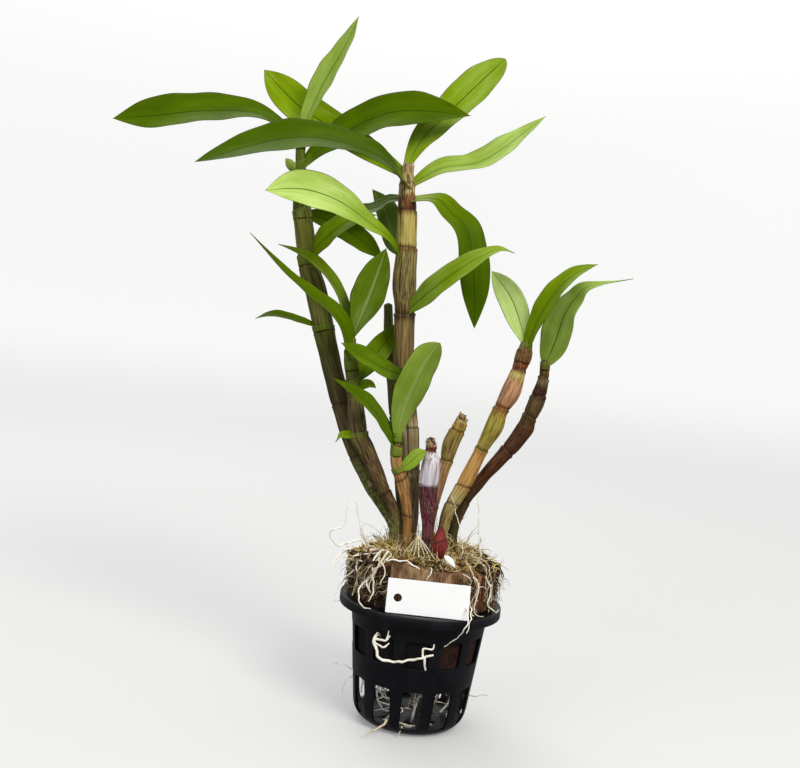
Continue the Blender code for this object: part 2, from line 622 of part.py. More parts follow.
def husk_plug():
    """The root-bound mass of husk: a plug that fills the pot's top, ringed by chunks above the rim."""
    seat = GAP + 0.1

    def plug_radius(z):
        return wall_radius(z) - POT_WALL - seat

    profile = [(0.0, HUSK_TOP), (HUSK_NECK_RADIUS - 2, HUSK_TOP), (HUSK_NECK_RADIUS, HUSK_TOP - 2),
               (HUSK_NECK_RADIUS, POT_HEIGHT + 2), (plug_radius(POT_HEIGHT - 1), POT_HEIGHT - 1),
               (plug_radius(HUSK_BOTTOM + 2), HUSK_BOTTOM + 2), (plug_radius(HUSK_BOTTOM) - 3, HUSK_BOTTOM),
               (0.0, HUSK_BOTTOM)]
    pieces = [lathe("husk_core", profile, POT_STEPS, CUTTERS)]
    draw = random.Random(11)
    for i in range(CHUNK_COUNT):
        degrees = (i + draw.uniform(-0.25, 0.25)) * 360.0 / CHUNK_COUNT
        wrapped = (degrees + 180) % 360 - 180
        if SLAB_ANGLES[0] - 9 < wrapped < SLAB_ANGLES[1] + 9:
            continue
        height = draw.uniform(20, 27)
        reach = draw.uniform(37.5, 40.5)
        x, y = around(reach, degrees)
        pieces.append(box("chunk", (draw.uniform(8, 12), draw.uniform(8, 12), height),
                          (x, y, POT_HEIGHT + 2.2 + height / 2),
                          (draw.uniform(-7, 7), draw.uniform(-7, 7), degrees + draw.uniform(-20, 20))))
    return joined("husk_plug", pieces, ORCHID, principled("husk_dark", (0.12, 0.07, 0.04), 0.9))


def moss_pad():
    profile = [(0.0, MOSS_HEIGHT), (9, MOSS_HEIGHT), (18, MOSS_HEIGHT - 0.7), (26, MOSS_HEIGHT - 2.2),
               (MOSS_RADIUS, 1.2), (MOSS_RADIUS, 0.0), (0.0, 0.0)]
    pad = lathe("moss_pad", [(r, z + HUSK_TOP + GAP) for r, z in profile], 20, ORCHID,
                principled("moss_green", (0.42, 0.40, 0.14), 0.9))
    for vertex in pad.data.vertices:
        rise = vertex.co.z / MM - HUSK_TOP - GAP
        if rise > 1.0:
            vertex.co.z += MM * 1.6 * noise.noise(vertex.co * 120.0) * min(1.0, rise / 4)
    return pad


def plant_label():
    width, thick, height = LABEL_SIZE
    plate = box("plate", LABEL_SIZE, (0, 0, 0))
    label = as_mesh(plate, "plant_label", ORCHID, principled("label_white", (0.85, 0.85, 0.84), 0.35))
    hole = tube("label_hole", [(6.5 - width / 2, -3, -1, LABEL_HOLE_RADIUS), (6.5 - width / 2, 3, -1,
                LABEL_HOLE_RADIUS)], CUTTERS, 12)
    lean = math.radians(LABEL_LEAN)
    middle = Vector((2.5, -43.4 + height / 2 * math.sin(lean),
                     POT_HEIGHT + GAP + height / 2 * math.cos(lean)))
    for piece in (label, hole):
        piece.rotation_euler = (-lean, 0, 0)
        piece.location = middle * MM
    cut(label, hole)
    return label


def build():
    cane_holes = canes()
    path = smooth_path(RHIZOME, 2)
    rhizome = tube("rhizome", path, ORCHID, material=principled("rhizome", (0.3, 0.22, 0.1), 0.7))
    rhizome_hole = tube("rhizome_hole", longer(path), CUTTERS, extra=GAP)
    grooves = roots()
    plug = husk_plug()
    slab, slab_room = husk_slab()
    moss = moss_pad()
    feet = new_collection("foot_cutters")
    bed = new_collection("bed_cutters")
    for hole in cane_holes.values():
        feet.objects.link(hole)
        bed.objects.link(hole)
    for cutter in (rhizome_hole, *grooves):
        bed.objects.link(cutter)
    cut(rhizome, feet)
    cut(plug, slab_room)
    for piece in (plug, slab, moss):
        cut(piece, bed, "MANIFOLD")
        main_body(piece, piece.data.materials[0])
    leaves(cane_holes)
    plant_label()
    net_pot()


build()
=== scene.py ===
# Dendrobium orchid in a net pot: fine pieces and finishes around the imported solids.
# Lengths are in millimetres until a mesh is made. The front is -Y, and Z is up from the pot's underside.
import math
import random

import bmesh
import bpy
import numpy as np
from mathutils import Matrix, Vector, noise
from mathutils.bvhtree import BVHTree


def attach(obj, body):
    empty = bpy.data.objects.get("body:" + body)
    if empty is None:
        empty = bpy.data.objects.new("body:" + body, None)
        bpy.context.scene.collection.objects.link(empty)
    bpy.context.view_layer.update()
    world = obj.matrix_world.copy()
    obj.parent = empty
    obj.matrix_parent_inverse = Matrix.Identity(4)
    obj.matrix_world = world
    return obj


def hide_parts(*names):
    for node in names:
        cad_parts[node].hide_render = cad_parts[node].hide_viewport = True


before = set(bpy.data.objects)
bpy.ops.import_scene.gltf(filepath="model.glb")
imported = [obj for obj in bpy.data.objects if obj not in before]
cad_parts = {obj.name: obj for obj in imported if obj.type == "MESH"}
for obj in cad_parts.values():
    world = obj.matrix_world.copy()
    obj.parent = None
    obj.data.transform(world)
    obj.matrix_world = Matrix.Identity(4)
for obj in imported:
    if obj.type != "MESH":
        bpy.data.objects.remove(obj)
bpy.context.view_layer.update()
mm = 0.001
turn = 2 * math.pi


def colour(red, green, blue):  # a screen colour from 0 to 255 as the shader wants it
    def straight(part):
        part /= 255
        return part / 12.92 if part <= 0.04045 else ((part + 0.055) / 1.055) ** 2.4
    return straight(red), straight(green), straight(blue), 1.0


def addNode(tree, kind, inputs=None, **settings):
    node = tree.nodes.new(kind)
    for key, value in settings.items():
        setattr(node, key, value)
    for key, value in (inputs or {}).items():
        if isinstance(value, bpy.types.NodeSocket):
            tree.links.new(value, node.inputs[key])
        else:
            node.inputs[key].default_value = value
    return node


def addStep(tree, kind, inputs=None, **settings):  # one step of a geometry tree
    return addNode(tree, "GeometryNode" + kind, inputs, **settings).outputs[0]


def addMath(tree, operation, first, second=0.0, clamp=False):
    return addNode(tree, "ShaderNodeMath", {0: first, 1: second}, operation=operation, use_clamp=clamp).outputs[0]


def times(tree, first, second, clamp=False):
    return addMath(tree, "MULTIPLY", first, second, clamp)


def plus(tree, first, second, clamp=False):
    return addMath(tree, "ADD", first, second, clamp)


def addMix(tree, share, first, second):
    return addNode(tree, "ShaderNodeMix", {0: share, 6: first, 7: second}, data_type="RGBA").outputs[2]


def vectorOf(tree, *parts):
    return addNode(tree, "ShaderNodeCombineXYZ", dict(enumerate(parts))).outputs[0]


def addVector(tree, operation, first, second):
    slot = 3 if operation == "SCALE" else 1                     # a scale takes one number
    return addNode(tree, "ShaderNodeVectorMath", {0: first, slot: second}, operation=operation).outputs[0]


def addNoise(tree, place, scale=1.0, detail=3.0, rough=0.55):  # scale is one number, or one for each axis
    if not isinstance(scale, (int, float)):
        place, scale = addVector(tree, "MULTIPLY", place, scale), 1.0
    inputs = {"Vector": place, "Scale": scale, "Detail": detail, "Roughness": rough}
    return addNode(tree, "ShaderNodeTexNoise", inputs).outputs["Fac"]


def addRange(tree, value, low, high, newLow=0.0, newHigh=1.0):
    return addNode(tree, "ShaderNodeMapRange", {0: value, 1: low, 2: high, 3: newLow, 4: newHigh}).outputs[0]


def addRamp(tree, share, stops):
    node = addNode(tree, "ShaderNodeValToRGB", {0: share})
    ramp = node.color_ramp
    while len(ramp.elements) < len(stops):
        ramp.elements.new(0.5)
    for element, (place, shade) in zip(ramp.elements, stops):
        element.position = place
        element.color = colour(*shade)
    return node.outputs["Color"]


def addBump(tree, height, distance, strength=1.0):
    return addNode(tree, "ShaderNodeBump",
                   {"Height": height, "Distance": distance * mm, "Strength": strength}).outputs[0]


def readMark(tree, name, output="Fac"):
    return addNode(tree, "ShaderNodeAttribute", attribute_name=name).outputs[output]


def newMaterial(name, **plain):
    material = bpy.data.materials.new(name)
    material.use_nodes = True
    for key, value in plain.items():
        material.node_tree.nodes["Principled BSDF"].inputs[key.replace("_", " ")].default_value = value
    return material, material.node_tree


def wire(tree, **found):  # plug what a pattern gives into the shader
    for key, output in found.items():
        tree.links.new(output, tree.nodes["Principled BSDF"].inputs[key.replace("_", " ")])


def objectPlace(tree):
    return addNode(tree, "ShaderNodeTexCoord").outputs["Object"]


def smoothPath(points, steps):  # a smooth curve through rows of any length
    rows = np.array(points, float)
    padded = np.vstack([rows[:1], rows, rows[-1:]])
    found = []
    for i in range(len(rows) - 1):
        a, b, c, d = padded[i:i + 4]
        for t in np.linspace(0, 1, steps, endpoint=False):
            found.append(0.5 * (2 * b + (c - a) * t + (2 * a - 5 * b + 4 * c - d) * t ** 2
                                + (3 * b - a - 3 * c + d) * t ** 3))
    found.append(rows[-1])
    return np.array(found)


def distances(path):  # how far along a path each of its rows is
    return np.concatenate([[0], np.cumsum(np.linalg.norm(np.diff(path[:, :3], axis=0), axis=1))])


def evenPath(path, spacing):  # the same path in equal steps, and the distance along it
    along = distances(path)
    count = max(3, int(round(along[-1] / spacing)) + 1)
    wanted = np.linspace(0, along[-1], count)
    return np.stack([np.interp(wanted, along, column) for column in path.T], axis=1), wanted


def unit(vectors):
    return vectors / np.maximum(np.linalg.norm(vectors, axis=-1, keepdims=True), 1e-9)


def pathFrames(places):  # along, across and up at each point, without twist, across x up = along
    along = unit(np.gradient(places[:, :3], axis=0))
    up = np.zeros_like(along)
    last = np.array([0.0, 1.0, 0.0]) if abs(along[0][1]) < 0.9 else np.array([1.0, 0.0, 0.0])
    for i, direction in enumerate(along):
        last = unit(last - direction * last.dot(direction))
        up[i] = last
    return along, np.cross(up, along), up


def newShape():
    return {"points": [], "faces": [], "uv": [], "marks": {}, "count": 0}


def addLoft(shape, rings, columns, rows, ends, marks):
    # rings is (n, m, 3): n closed loops of m points. ends are the two points that close it
    n, m = rings.shape[:2]
    first = shape["count"]
    grid = first + np.arange(n * m).reshape(n, m)
    beside = np.roll(grid, -1, axis=1)
    foot = np.full(m, first + n * m)
    shape["faces"] += np.stack([grid[:-1], beside[:-1], beside[1:], grid[1:]], axis=-1).reshape(-1, 4).tolist()
    shape["faces"] += np.stack([foot, beside[0], grid[0]], axis=-1).tolist()
    shape["faces"] += np.stack([foot + 1, grid[-1], beside[-1]], axis=-1).tolist()
    shape["points"] += [rings.reshape(-1, 3), np.array(ends, float)]
    shape["count"] += n * m + 2
    left, right = np.array(columns[:-1]), np.array(columns[1:])
    middle, low, high, start, end = (left + right) / 2, rows[:-1], rows[1:], rows[:1], rows[-1:]
    for corners in ([(left, low), (right, low), (right, high), (left, high)],
                    [(middle, start), (right, start), (left, start)], [(middle, end), (left, end), (right, end)]):
        pairs = [np.stack(np.broadcast_arrays(np.asarray(column)[None, :], np.asarray(row)[:, None]), axis=-1)
                 for column, row in corners]
        shape["uv"].append(np.stack(pairs, axis=2).reshape(-1, 2))
    for key, values in marks.items():
        values = np.asarray(values, float)
        if values.ndim == 0:
            values = np.full((n, m), float(values))
        tail = values.shape[2:]
        closing = np.stack([values[0].mean(axis=0), values[-1].mean(axis=0)])
        shape["marks"].setdefault(key, []).append(np.concatenate([values.reshape(n * m, *tail), closing]))


def addTube(shape, path, sides=10, spacing=1.2, relief=None, band=None, tone=0.0, roundEnd=0.4,
            flat=1.0, twist=0.0, share=None):
    # path rows are x, y, z, radius. relief and band are functions of angle, distance and length.
    # flat thins the tube towards a strip that twist turns, and share is a fixed place in the length's colours
    places, along = evenPath(np.asarray(path, float), spacing)
    ahead, across, up = pathFrames(places)
    angle = np.arange(sides) / sides * turn
    radius = np.repeat(places[:, 3:4], sides, axis=1)
    spread, distance = np.meshgrid(angle, along)
    if relief is not None:
        radius = np.maximum(radius + relief(spread, distance, along[-1]), 0.05)
    wide = across * math.cos(twist) + up * math.sin(twist)
    thin = (up * math.cos(twist) - across * math.sin(twist)) * flat
    rings = places[:, None, :3] + radius[..., None] * (
        np.cos(angle)[None, :, None] * wide[:, None] + np.sin(angle)[None, :, None] * thin[:, None])
    ends = [places[0, :3] - ahead[0] * places[0, 3] * roundEnd, places[-1, :3] + ahead[-1] * places[-1, 3] * roundEnd]
    flow = np.stack([np.cos(spread) * places[:, 3:4], np.sin(spread) * places[:, 3:4], distance], axis=-1)
    marks = {"flow": flow, "band": band(spread, distance, along[-1]) if band is not None else 0.0, "tone": tone}
    rows = along / along[-1] if share is None else np.full(len(along), share)
    addLoft(shape, rings, np.arange(sides + 1) / sides, rows, ends, marks)


def makeMesh(name, shape, material):
    mesh = bpy.data.meshes.new(name)
    mesh.from_pydata((np.concatenate(shape["points"]) * mm).tolist(), [], shape["faces"])
    mesh.uv_layers.new(name="UVMap").data.foreach_set("uv", np.concatenate(shape["uv"]).ravel())
    for key, parts in shape["marks"].items():
        values = np.concatenate(parts)
        vector = values.ndim == 2
        mark = mesh.attributes.new(key, "FLOAT_VECTOR" if vector else "FLOAT", "POINT")
        mark.data.foreach_set("vector" if vector else "value", values.ravel())
    return linkPiece(name, mesh, material)


def placeObject(name, data):
    found = bpy.data.objects.new(name, data)
    bpy.context.scene.collection.objects.link(found)
    return found


def linkPiece(name, mesh, material):
    mesh.materials.clear()
    mesh.materials.append(material)
    mesh.polygons.foreach_set("use_smooth", [True] * len(mesh.polygons))
    return placeObject(name, mesh)


def takeMesh(builder, name):
    mesh = bpy.data.meshes.new(name)
    builder.to_mesh(mesh)
    builder.free()
    return mesh


def plainMesh(source, name, material):  # the evaluated object as a plain piece; the source goes
    graph = bpy.context.evaluated_depsgraph_get()
    graph.update()
    mesh = bpy.data.meshes.new_from_object(source.evaluated_get(graph))
    source.modifiers.clear()
    bpy.data.objects.remove(source)
    mesh.name = name
    return linkPiece(name, mesh, material)


def lathe(name, profile, steps):  # turn rows of radius and height round Z
    builder = bmesh.new()
    corners = [builder.verts.new((r * mm, 0, z * mm)) for r, z in profile]
    edges = [builder.edges.new(pair) for pair in zip(corners, corners[1:])]
    bmesh.ops.spin(builder, geom=corners + edges, cent=(0, 0, 0), axis=(0, 0, 1), angle=turn, steps=steps)
    bmesh.ops.remove_doubles(builder, verts=builder.verts, dist=1e-6)
    bmesh.ops.recalc_face_normals(builder, faces=builder.faces)
    return takeMesh(builder, name)


def keepPiece(piece, slot, *nodes):
    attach(piece, "root")
    if nodes:
        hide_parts(*nodes)


def around(radius, degrees):  # measured from the front towards +X
    angle = math.radians(degrees)
    return radius * math.sin(angle), -radius * math.cos(angle)


view = {"place": (-27.0, -615.0, 234.6), "pitch": -2.53, "roll": 6.18, "lens": 45.0, "sensor": 36.0, "near": 0.01}
studio = {  # metres; glow is the paper's own light, which keeps it pale behind the plant
    "sky": {"above": 0.82, "level": 0.50, "below": 0.20},
    "floorRadius": 1.5, "wallRound": 0.9, "wallTop": 3.2, "steps": 96, "aim": (-0.05, 0.0, 0.2),
    "paper": (188, 189, 188), "glow": (0.15, 0.32, 0.57), "glowHeights": (0.0, 0.2, 1.2),
    "farGlow": 0.13, "farGlowFrom": 0.35,
    "lights": {
        "key": {"place": (0.75, -1.25, 1.35), "size": 0.7, "power": 25, "shade": (255, 251, 244)},
        "fill": {"place": (-1.2, -1.2, 0.7), "size": 1.0, "power": 8, "shade": (246, 249, 255)},
        "back": {"place": (-0.5, 0.9, 1.5), "size": 1.0, "power": 9, "shade": (255, 255, 255)},
    },
}


def placeCamera():
    pitch, roll = math.radians(view["pitch"]), math.radians(view["roll"])
    forward = Vector((0, math.cos(pitch), math.sin(pitch)))
    level, lift = Vector((1, 0, 0)), Vector((0, -math.sin(pitch), math.cos(pitch)))
    right = level * math.cos(roll) + lift * math.sin(roll)
    up = lift * math.cos(roll) - level * math.sin(roll)
    data = bpy.data.cameras.new("camera")
    data.lens, data.sensor_width, data.clip_start = view["lens"], view["sensor"], view["near"]
    camera = placeObject("camera", data)
    matrix = Matrix((right, up, -forward)).transposed().to_4x4()
    matrix.translation = Vector(view["place"]) * mm
    camera.matrix_world = matrix
    bpy.context.scene.camera = camera


def buildStudio():
    rim, bend, top = (studio[key] / mm for key in ("floorRadius", "wallRound", "wallTop"))
    profile = [(0.0, 0.0), (rim, 0.0)]
    profile += [(rim + bend * math.sin(a), bend - bend * math.cos(a)) for a in np.linspace(0.1, math.pi / 2, 16)]
    profile.append((rim + bend, top))
    material, tree = newMaterial("paper", Roughness=0.9, Base_Color=colour(*studio["paper"]),
                                 Emission_Color=(1, 1, 1, 1))
    rise = addNode(tree, "ShaderNodeSeparateXYZ", {0: objectPlace(tree)}).outputs[2]
    low, middle, high = studio["glowHeights"]
    dim, even, bright = studio["glow"]
    glow = addNode(tree, "ShaderNodeMapRange", {0: rise, 1: low, 2: middle, 3: dim, 4: even},
                   interpolation_type="SMOOTHSTEP").outputs[0]
    glow = plus(tree, glow, addRange(tree, rise, middle, high, 0.0, bright - even))
    away = addNode(tree, "ShaderNodeVectorMath", {0: objectPlace(tree)}, operation="LENGTH").outputs["Value"]
    glow = plus(tree, glow, addRange(tree, away, studio["farGlowFrom"], studio["floorRadius"],
                                               0.0, studio["farGlow"]))
    wire(tree, Emission_Strength=glow)
    paper = linkPiece("paper", lathe("paper", profile, studio["steps"]), material)
    paper.visible_diffuse = paper.visible_glossy = paper.visible_shadow = False  # the plant keeps its dark sides
    for name, look in studio["lights"].items():
        data = bpy.data.lights.new(name, "AREA")
        data.size, data.energy, data.color = look["size"], look["power"], colour(*look["shade"])[:3]
        light = placeObject(name, data)
        light.location = look["place"]
        light.rotation_euler = (Vector(studio["aim"]) - light.location).to_track_quat("-Z", "Y").to_euler()
        light.visible_camera = False
    world = bpy.data.worlds.new("sky")
    world.use_nodes = True
    tree = world.node_tree
    direction = addNode(tree, "ShaderNodeTexCoord").outputs["Generated"]
    rise = addNode(tree, "ShaderNodeSeparateXYZ", {0: direction}).outputs[2]
    sky = studio["sky"]
    bright = plus(tree, addRange(tree, rise, -0.2, 0.0, sky["below"], sky["level"]),
                     addRange(tree, rise, 0.0, 0.8, 0.0, sky["above"] - sky["level"]))
    tree.links.new(bright, tree.nodes["Background"].inputs["Strength"])
    tree.nodes["Background"].inputs["Color"].default_value = (1, 1, 1, 1)
    bpy.context.scene.world = world
    bpy.context.scene.view_settings.view_transform = "Standard"


placeCamera()
buildStudio()
print("camera and studio are ready")


# bands: share of the length and colour, from the foot up; rings: share and lip; shreds: share, count and length.
# depth darkens the colours, moss is how far a green crust climbs, and clasp is how green a leaf's base is
caneLooks = {
    "cane_tall_left": {
        "slot": "green_cane", "pale": (128, 138, 30), "paleShare": 0.35, "depth": 0.80, "clasp": 0.45,
        "ribs": 9, "stripes": 0.55, "moss": 0.30,
        "shreds": [(0.08, 3, 8), (0.17, 2, 7)],
        "rings": [(0.252, 0.3), (0.370, 0.4), (0.543, 0.6), (0.693, 0.3), (0.816, 0.7), (0.922, 0.4)],
        "bands": [(0.0, (92, 76, 44)), (0.20, (98, 92, 52)), (0.27, (104, 92, 64)), (0.35, (112, 92, 70)),
                  (0.38, (98, 84, 60)), (0.50, (100, 98, 50)), (0.54, (122, 132, 50)), (0.60, (124, 126, 62)),
                  (0.70, (140, 144, 62)), (0.795, (150, 156, 58)), (0.812, (196, 190, 118)),
                  (0.82, (108, 128, 8)), (0.91, (102, 124, 8)), (1.0, (104, 128, 16))]},
    "cane_second_left": {
        "slot": "green_cane", "pale": (176, 166, 96), "depth": 0.70, "clasp": 0.45,
        "ribs": 8, "stripes": 0.5, "moss": 0.25,
        "shreds": [(0.08, 3, 8)],
        "rings": [(0.30, 0.3), (0.58, 0.6), (0.756, 0.4), (0.90, 0.3)],
        "bands": [(0.0, (116, 98, 62)), (0.30, (112, 76, 56)), (0.45, (116, 76, 62)), (0.555, (124, 98, 66)),
                  (0.575, (176, 166, 92)), (0.60, (126, 108, 78)), (0.73, (128, 116, 76)), (0.77, (112, 126, 44)),
                  (1.0, (108, 134, 40))]},
    "cane_centre": {
        "slot": "tan_cane", "depth": 0.88, "ribs": 11, "stripes": 0.62,
        "shreds": [(0.10, 3, 9), (0.20, 3, 8), (0.93, 4, 9), (0.97, 4, 8)],
        "rings": [(0.223, 0.4), (0.331, 0.6), (0.468, 0.3), (0.621, 0.9), (0.787, 0.7), (0.877, 0.4), (0.947, 0.5)],
        "bands": [(0.0, (120, 108, 88)), (0.18, (170, 160, 146)), (0.30, (150, 134, 108)), (0.34, (206, 196, 166)),
                  (0.37, (108, 86, 56)), (0.46, (112, 88, 56)), (0.60, (146, 122, 78)), (0.612, (76, 48, 18)),
                  (0.63, (84, 54, 20)), (0.65, (124, 106, 62)), (0.77, (170, 158, 102)), (0.786, (132, 96, 40)),
                  (0.80, (214, 202, 124)), (0.865, (206, 194, 112)), (0.882, (104, 52, 18)), (0.915, (134, 62, 22)),
                  (0.925, (214, 196, 148)), (0.97, (204, 184, 132)), (1.0, (188, 168, 122))]},
    "cane_small_front": {
        "slot": "tan_cane", "depth": 0.92, "clasp": 0.80, "ribs": 7, "stripes": 0.5,
        "shreds": [(0.15, 3, 8)],
        "rings": [(0.34, 0.3), (0.63, 0.3), (0.90, 0.5)],
        "bands": [(0.0, (136, 108, 70)), (0.3, (170, 122, 74)), (0.6, (184, 130, 80)), (0.86, (188, 146, 98)),
                  (0.90, (146, 122, 52)), (0.93, (124, 136, 40)), (1.0, (118, 146, 36))]},
    "cane_banded": {
        "slot": "purple_cane", "pale": (240, 234, 226), "paleShare": 0.2, "warm": 1.0, "depth": 0.90,
        "ribs": 10, "stripes": 0.42,
        "shreds": [(0.12, 4, 9), (0.955, 4, 3), (0.985, 3, 3)],
        "rings": [(0.20, 0.2), (0.63, 0.5), (0.897, 0.4), (0.945, 0.4)],
        "bands": [(0.0, (138, 92, 84)), (0.2, (132, 66, 74)), (0.34, (104, 32, 46)), (0.55, (92, 26, 42)),
                  (0.627, (84, 22, 36)), (0.637, (238, 238, 240)), (0.88, (242, 242, 242)), (0.895, (222, 212, 204)),
                  (0.902, (132, 48, 24)), (0.935, (120, 42, 20)), (0.945, (214, 186, 152)), (0.958, (150, 98, 64)),
                  (0.972, (66, 38, 26)), (1.0, (44, 28, 20))]},
    "cane_tan": {
        "slot": "tan_cane", "depth": 0.90, "ribs": 9, "stripes": 0.48,
        "shreds": [(0.12, 3, 8), (0.95, 4, 5), (0.985, 3, 4)],
        "rings": [(0.35, 0.3), (0.672, 0.6), (0.88, 0.5), (0.955, 0.6)],
        "bands": [(0.0, (130, 104, 70)), (0.40, (190, 134, 120)), (0.60, (194, 146, 118)), (0.665, (180, 150, 104)),
                  (0.69, (148, 132, 74)), (0.86, (158, 140, 76)), (0.89, (178, 146, 46)), (0.94, (176, 142, 50)),
                  (0.955, (226, 204, 158)), (0.975, (140, 112, 70)), (1.0, (96, 74, 48))]},
    "cane_right_inner": {
        "slot": "purple_cane", "depth": 0.95, "clasp": 0.12, "ribs": 9, "stripes": 0.42,
        "shreds": [(0.08, 3, 8), (0.22, 3, 7)],
        "rings": [(0.252, 0.4), (0.341, 0.6), (0.519, 0.7), (0.705, 0.7), (0.877, 0.3), (0.95, 0.4)],
        "bands": [(0.0, (132, 116, 74)), (0.2, (150, 132, 86)), (0.29, (206, 190, 142)), (0.335, (196, 170, 110)),
                  (0.36, (202, 152, 88)), (0.50, (196, 146, 86)), (0.53, (160, 148, 62)), (0.66, (164, 156, 60)),
                  (0.69, (156, 118, 44)), (0.715, (144, 82, 30)), (0.74, (190, 140, 120)), (0.83, (200, 148, 126)),
                  (0.868, (204, 198, 124)), (0.885, (122, 40, 20)), (0.955, (86, 22, 16)), (0.968, (132, 92, 74)),
                  (0.98, (100, 106, 42)), (1.0, (110, 130, 44))]},
    "cane_right_outer": {
        "slot": "purple_cane", "pale": (176, 134, 92), "paleShare": 0.26, "depth": 0.58, "clasp": 0.40,
        "ribs": 9, "stripes": 0.48,
        "shreds": [(0.08, 3, 8), (0.18, 2, 7)],
        "rings": [(0.28, 0.3), (0.566, 0.6), (0.746, 0.6), (0.843, 0.5), (0.924, 0.6)],
        "bands": [(0.0, (108, 94, 56)), (0.16, (104, 106, 52)), (0.32, (112, 88, 50)), (0.44, (122, 58, 32)),
                  (0.56, (124, 56, 34)), (0.60, (132, 74, 50)), (0.72, (126, 84, 46)), (0.76, (140, 116, 56)),
                  (0.83, (138, 124, 82)), (0.848, (70, 26, 22)), (0.885, (88, 34, 26)), (0.90, (160, 146, 100)),
                  (0.918, (222, 214, 186)), (0.93, (160, 138, 38)), (0.97, (158, 130, 40)), (0.985, (104, 68, 34)),
                  (1.0, (110, 122, 40))]},
    "cane_back": {
        "slot": "green_cane", "pale": (150, 150, 70), "depth": 0.85, "clasp": 0.40,
        "ribs": 7, "stripes": 0.5, "moss": 0.2,
        "rings": [(0.2, 0.3), (0.543, 0.5), (0.785, 0.4)],
        "bands": [(0.0, (96, 82, 52)), (0.4, (92, 80, 50)), (0.75, (98, 104, 50)), (1.0, (92, 112, 40))]},
    "bud_shoot": {
        "slot": "red_bud", "pale": (206, 120, 110), "paleShare": 0.3, "depth": 0.88,
        "ribs": 6, "stripes": 0.25, "slope": 2.6,
        "rings": [(0.28, 0.5), (0.50, 0.6), (0.72, 0.5)],
        "bands": [(0.0, (120, 92, 56)), (0.25, (124, 66, 48)), (0.45, (128, 34, 38)), (0.8, (138, 40, 46)),
                  (1.0, (92, 22, 26))]},
    "rhizome": {
        "slot": "brown_cane", "depth": 0.85, "ribs": 8, "stripes": 0.5,
        "shreds": [(0.1, 4, 9), (0.3, 4, 8), (0.5, 5, 9), (0.7, 4, 8), (0.9, 4, 8)],
        "rings": [(0.15, 0.5), (0.35, 0.5), (0.55, 0.5), (0.8, 0.5)],
        "bands": [(0.0, (104, 82, 50)), (0.5, (124, 98, 60)), (1.0, (96, 74, 46))]},
}
caneRoutes = {  # joints from the foot up, each x, y, z, radius
    "cane_tall_left": [
        (-18, 6, 99.5, 3.0), (-20, 5, 110, 3.1), (-23, 4, 122, 3.2), (-40, 5, 144, 3.8), (-55, 6, 173, 5.5),
        (-71, 8, 215, 6.2), (-85, 10, 258, 6.7), (-91, 11, 273, 6.3), (-99, 12, 306, 5.6), (-102, 12, 320, 3.8),
        (-103, 12, 331, 3.2), (-105, 12, 356, 2.7)],
    "cane_second_left": [
        (-20, -1.5, 99.5, 2.6), (-20, -4, 112, 2.7), (-22, -5, 129, 2.8), (-30, -6, 143, 3.7),
        (-43, -6, 165, 5.2), (-49, -6, 175, 5.6), (-54, -6, 200, 4.6), (-58, -6, 217, 3.8), (-60, -6, 232, 2.9)],
    "cane_centre": [
        (-9, 5, 99.5, 3.0), (-10, 6, 110, 3.1), (-10, 6, 123, 3.3), (-14, 7, 154, 5.0), (-18, 8, 180, 5.5),
        (-25, 8, 213, 5.9), (-29, 8, 253, 6.4), (-31, 8, 269, 7.4), (-32, 7, 291, 6.4), (-34, 6, 313, 5.8),
        (-36, 6, 330, 4.7), (-37, 7, 343, 2.6)],
    "cane_small_front": [
        (-13, -3.5, 99.5, 2.5), (-13, -5, 112, 2.6), (-14, -7, 129, 2.8), (-19, -8, 148, 3.9),
        (-24, -9, 160, 3.6), (-25, -10, 170, 3.0), (-25, -10, 178, 2.1)],
    "cane_banded": [
        (-1, -3, 99.5, 2.8), (-1, -7, 112, 3.0), (-1, -9, 124, 3.3), (-2, -9, 135, 4.9), (-3, -9, 146, 5.7),
        (-3, -10, 162, 5.5), (-4, -10, 168, 3.7), (-4, -10, 172, 3.4), (-5, -10, 177, 2.1)],
    "cane_tan": [
        (0, 4.5, 99.5, 2.6), (1, 7, 112, 2.7), (2, 8, 129, 2.8), (5, 8, 153, 3.7), (7, 9, 162, 4.1),
        (9, 9, 174, 5.1), (13, 9, 185, 4.1), (14, 9, 192, 1.9)],
    "cane_right_inner": [
        (9, -1, 99.5, 2.8), (9, -2, 110, 3.0), (9, -2, 121, 3.1), (12, -2, 135, 3.9), (20, -3, 153, 4.6),
        (27, -4, 173, 3.9), (33, -5, 188, 5.5), (36, -5, 199, 4.6), (41, -5, 211, 5.8), (44, -6, 224, 4.5),
        (46, -6, 233, 4.6), (47, -6, 241, 2.9)],
    "cane_right_outer": [
        (18, 5, 99.5, 2.8), (16, 6, 112, 2.9), (17, 7, 125, 3.1), (22, 6, 140, 3.3), (32, 4, 157, 3.8),
        (44, 2, 174, 4.6), (52, 1, 187, 5.4), (54, 0, 194, 4.4), (57, -1, 204, 4.9), (60, -2, 219, 3.4),
        (60, -2, 231, 2.4)],
    "cane_back": [
        (-13, 13, 99.5, 2.9), (-15, 16, 112, 3.1), (-18, 20, 130, 3.2), (-23, 23, 160, 3.3),
        (-30, 26, 196, 3.5), (-36, 28, 227, 3.2), (-40, 28, 256, 2.8)],
    "bud_shoot": [
        (7, -8.5, 99.5, 2.6), (7, -14, 101.5, 3.4), (7, -18, 107, 4.0), (7, -19, 113, 4.9),
        (7, -18, 119, 3.8), (7, -17, 125, 1.3)],
    "rhizome": [
        (-23, 3, 97.5, 5.0), (-14, 4, 97.5, 6.2), (-5, 1, 97.5, 6.2), (4, 1, 97.5, 6.2), (12, 1, 97.5, 6.2),
        (21, 5, 97.5, 4.6)],
}


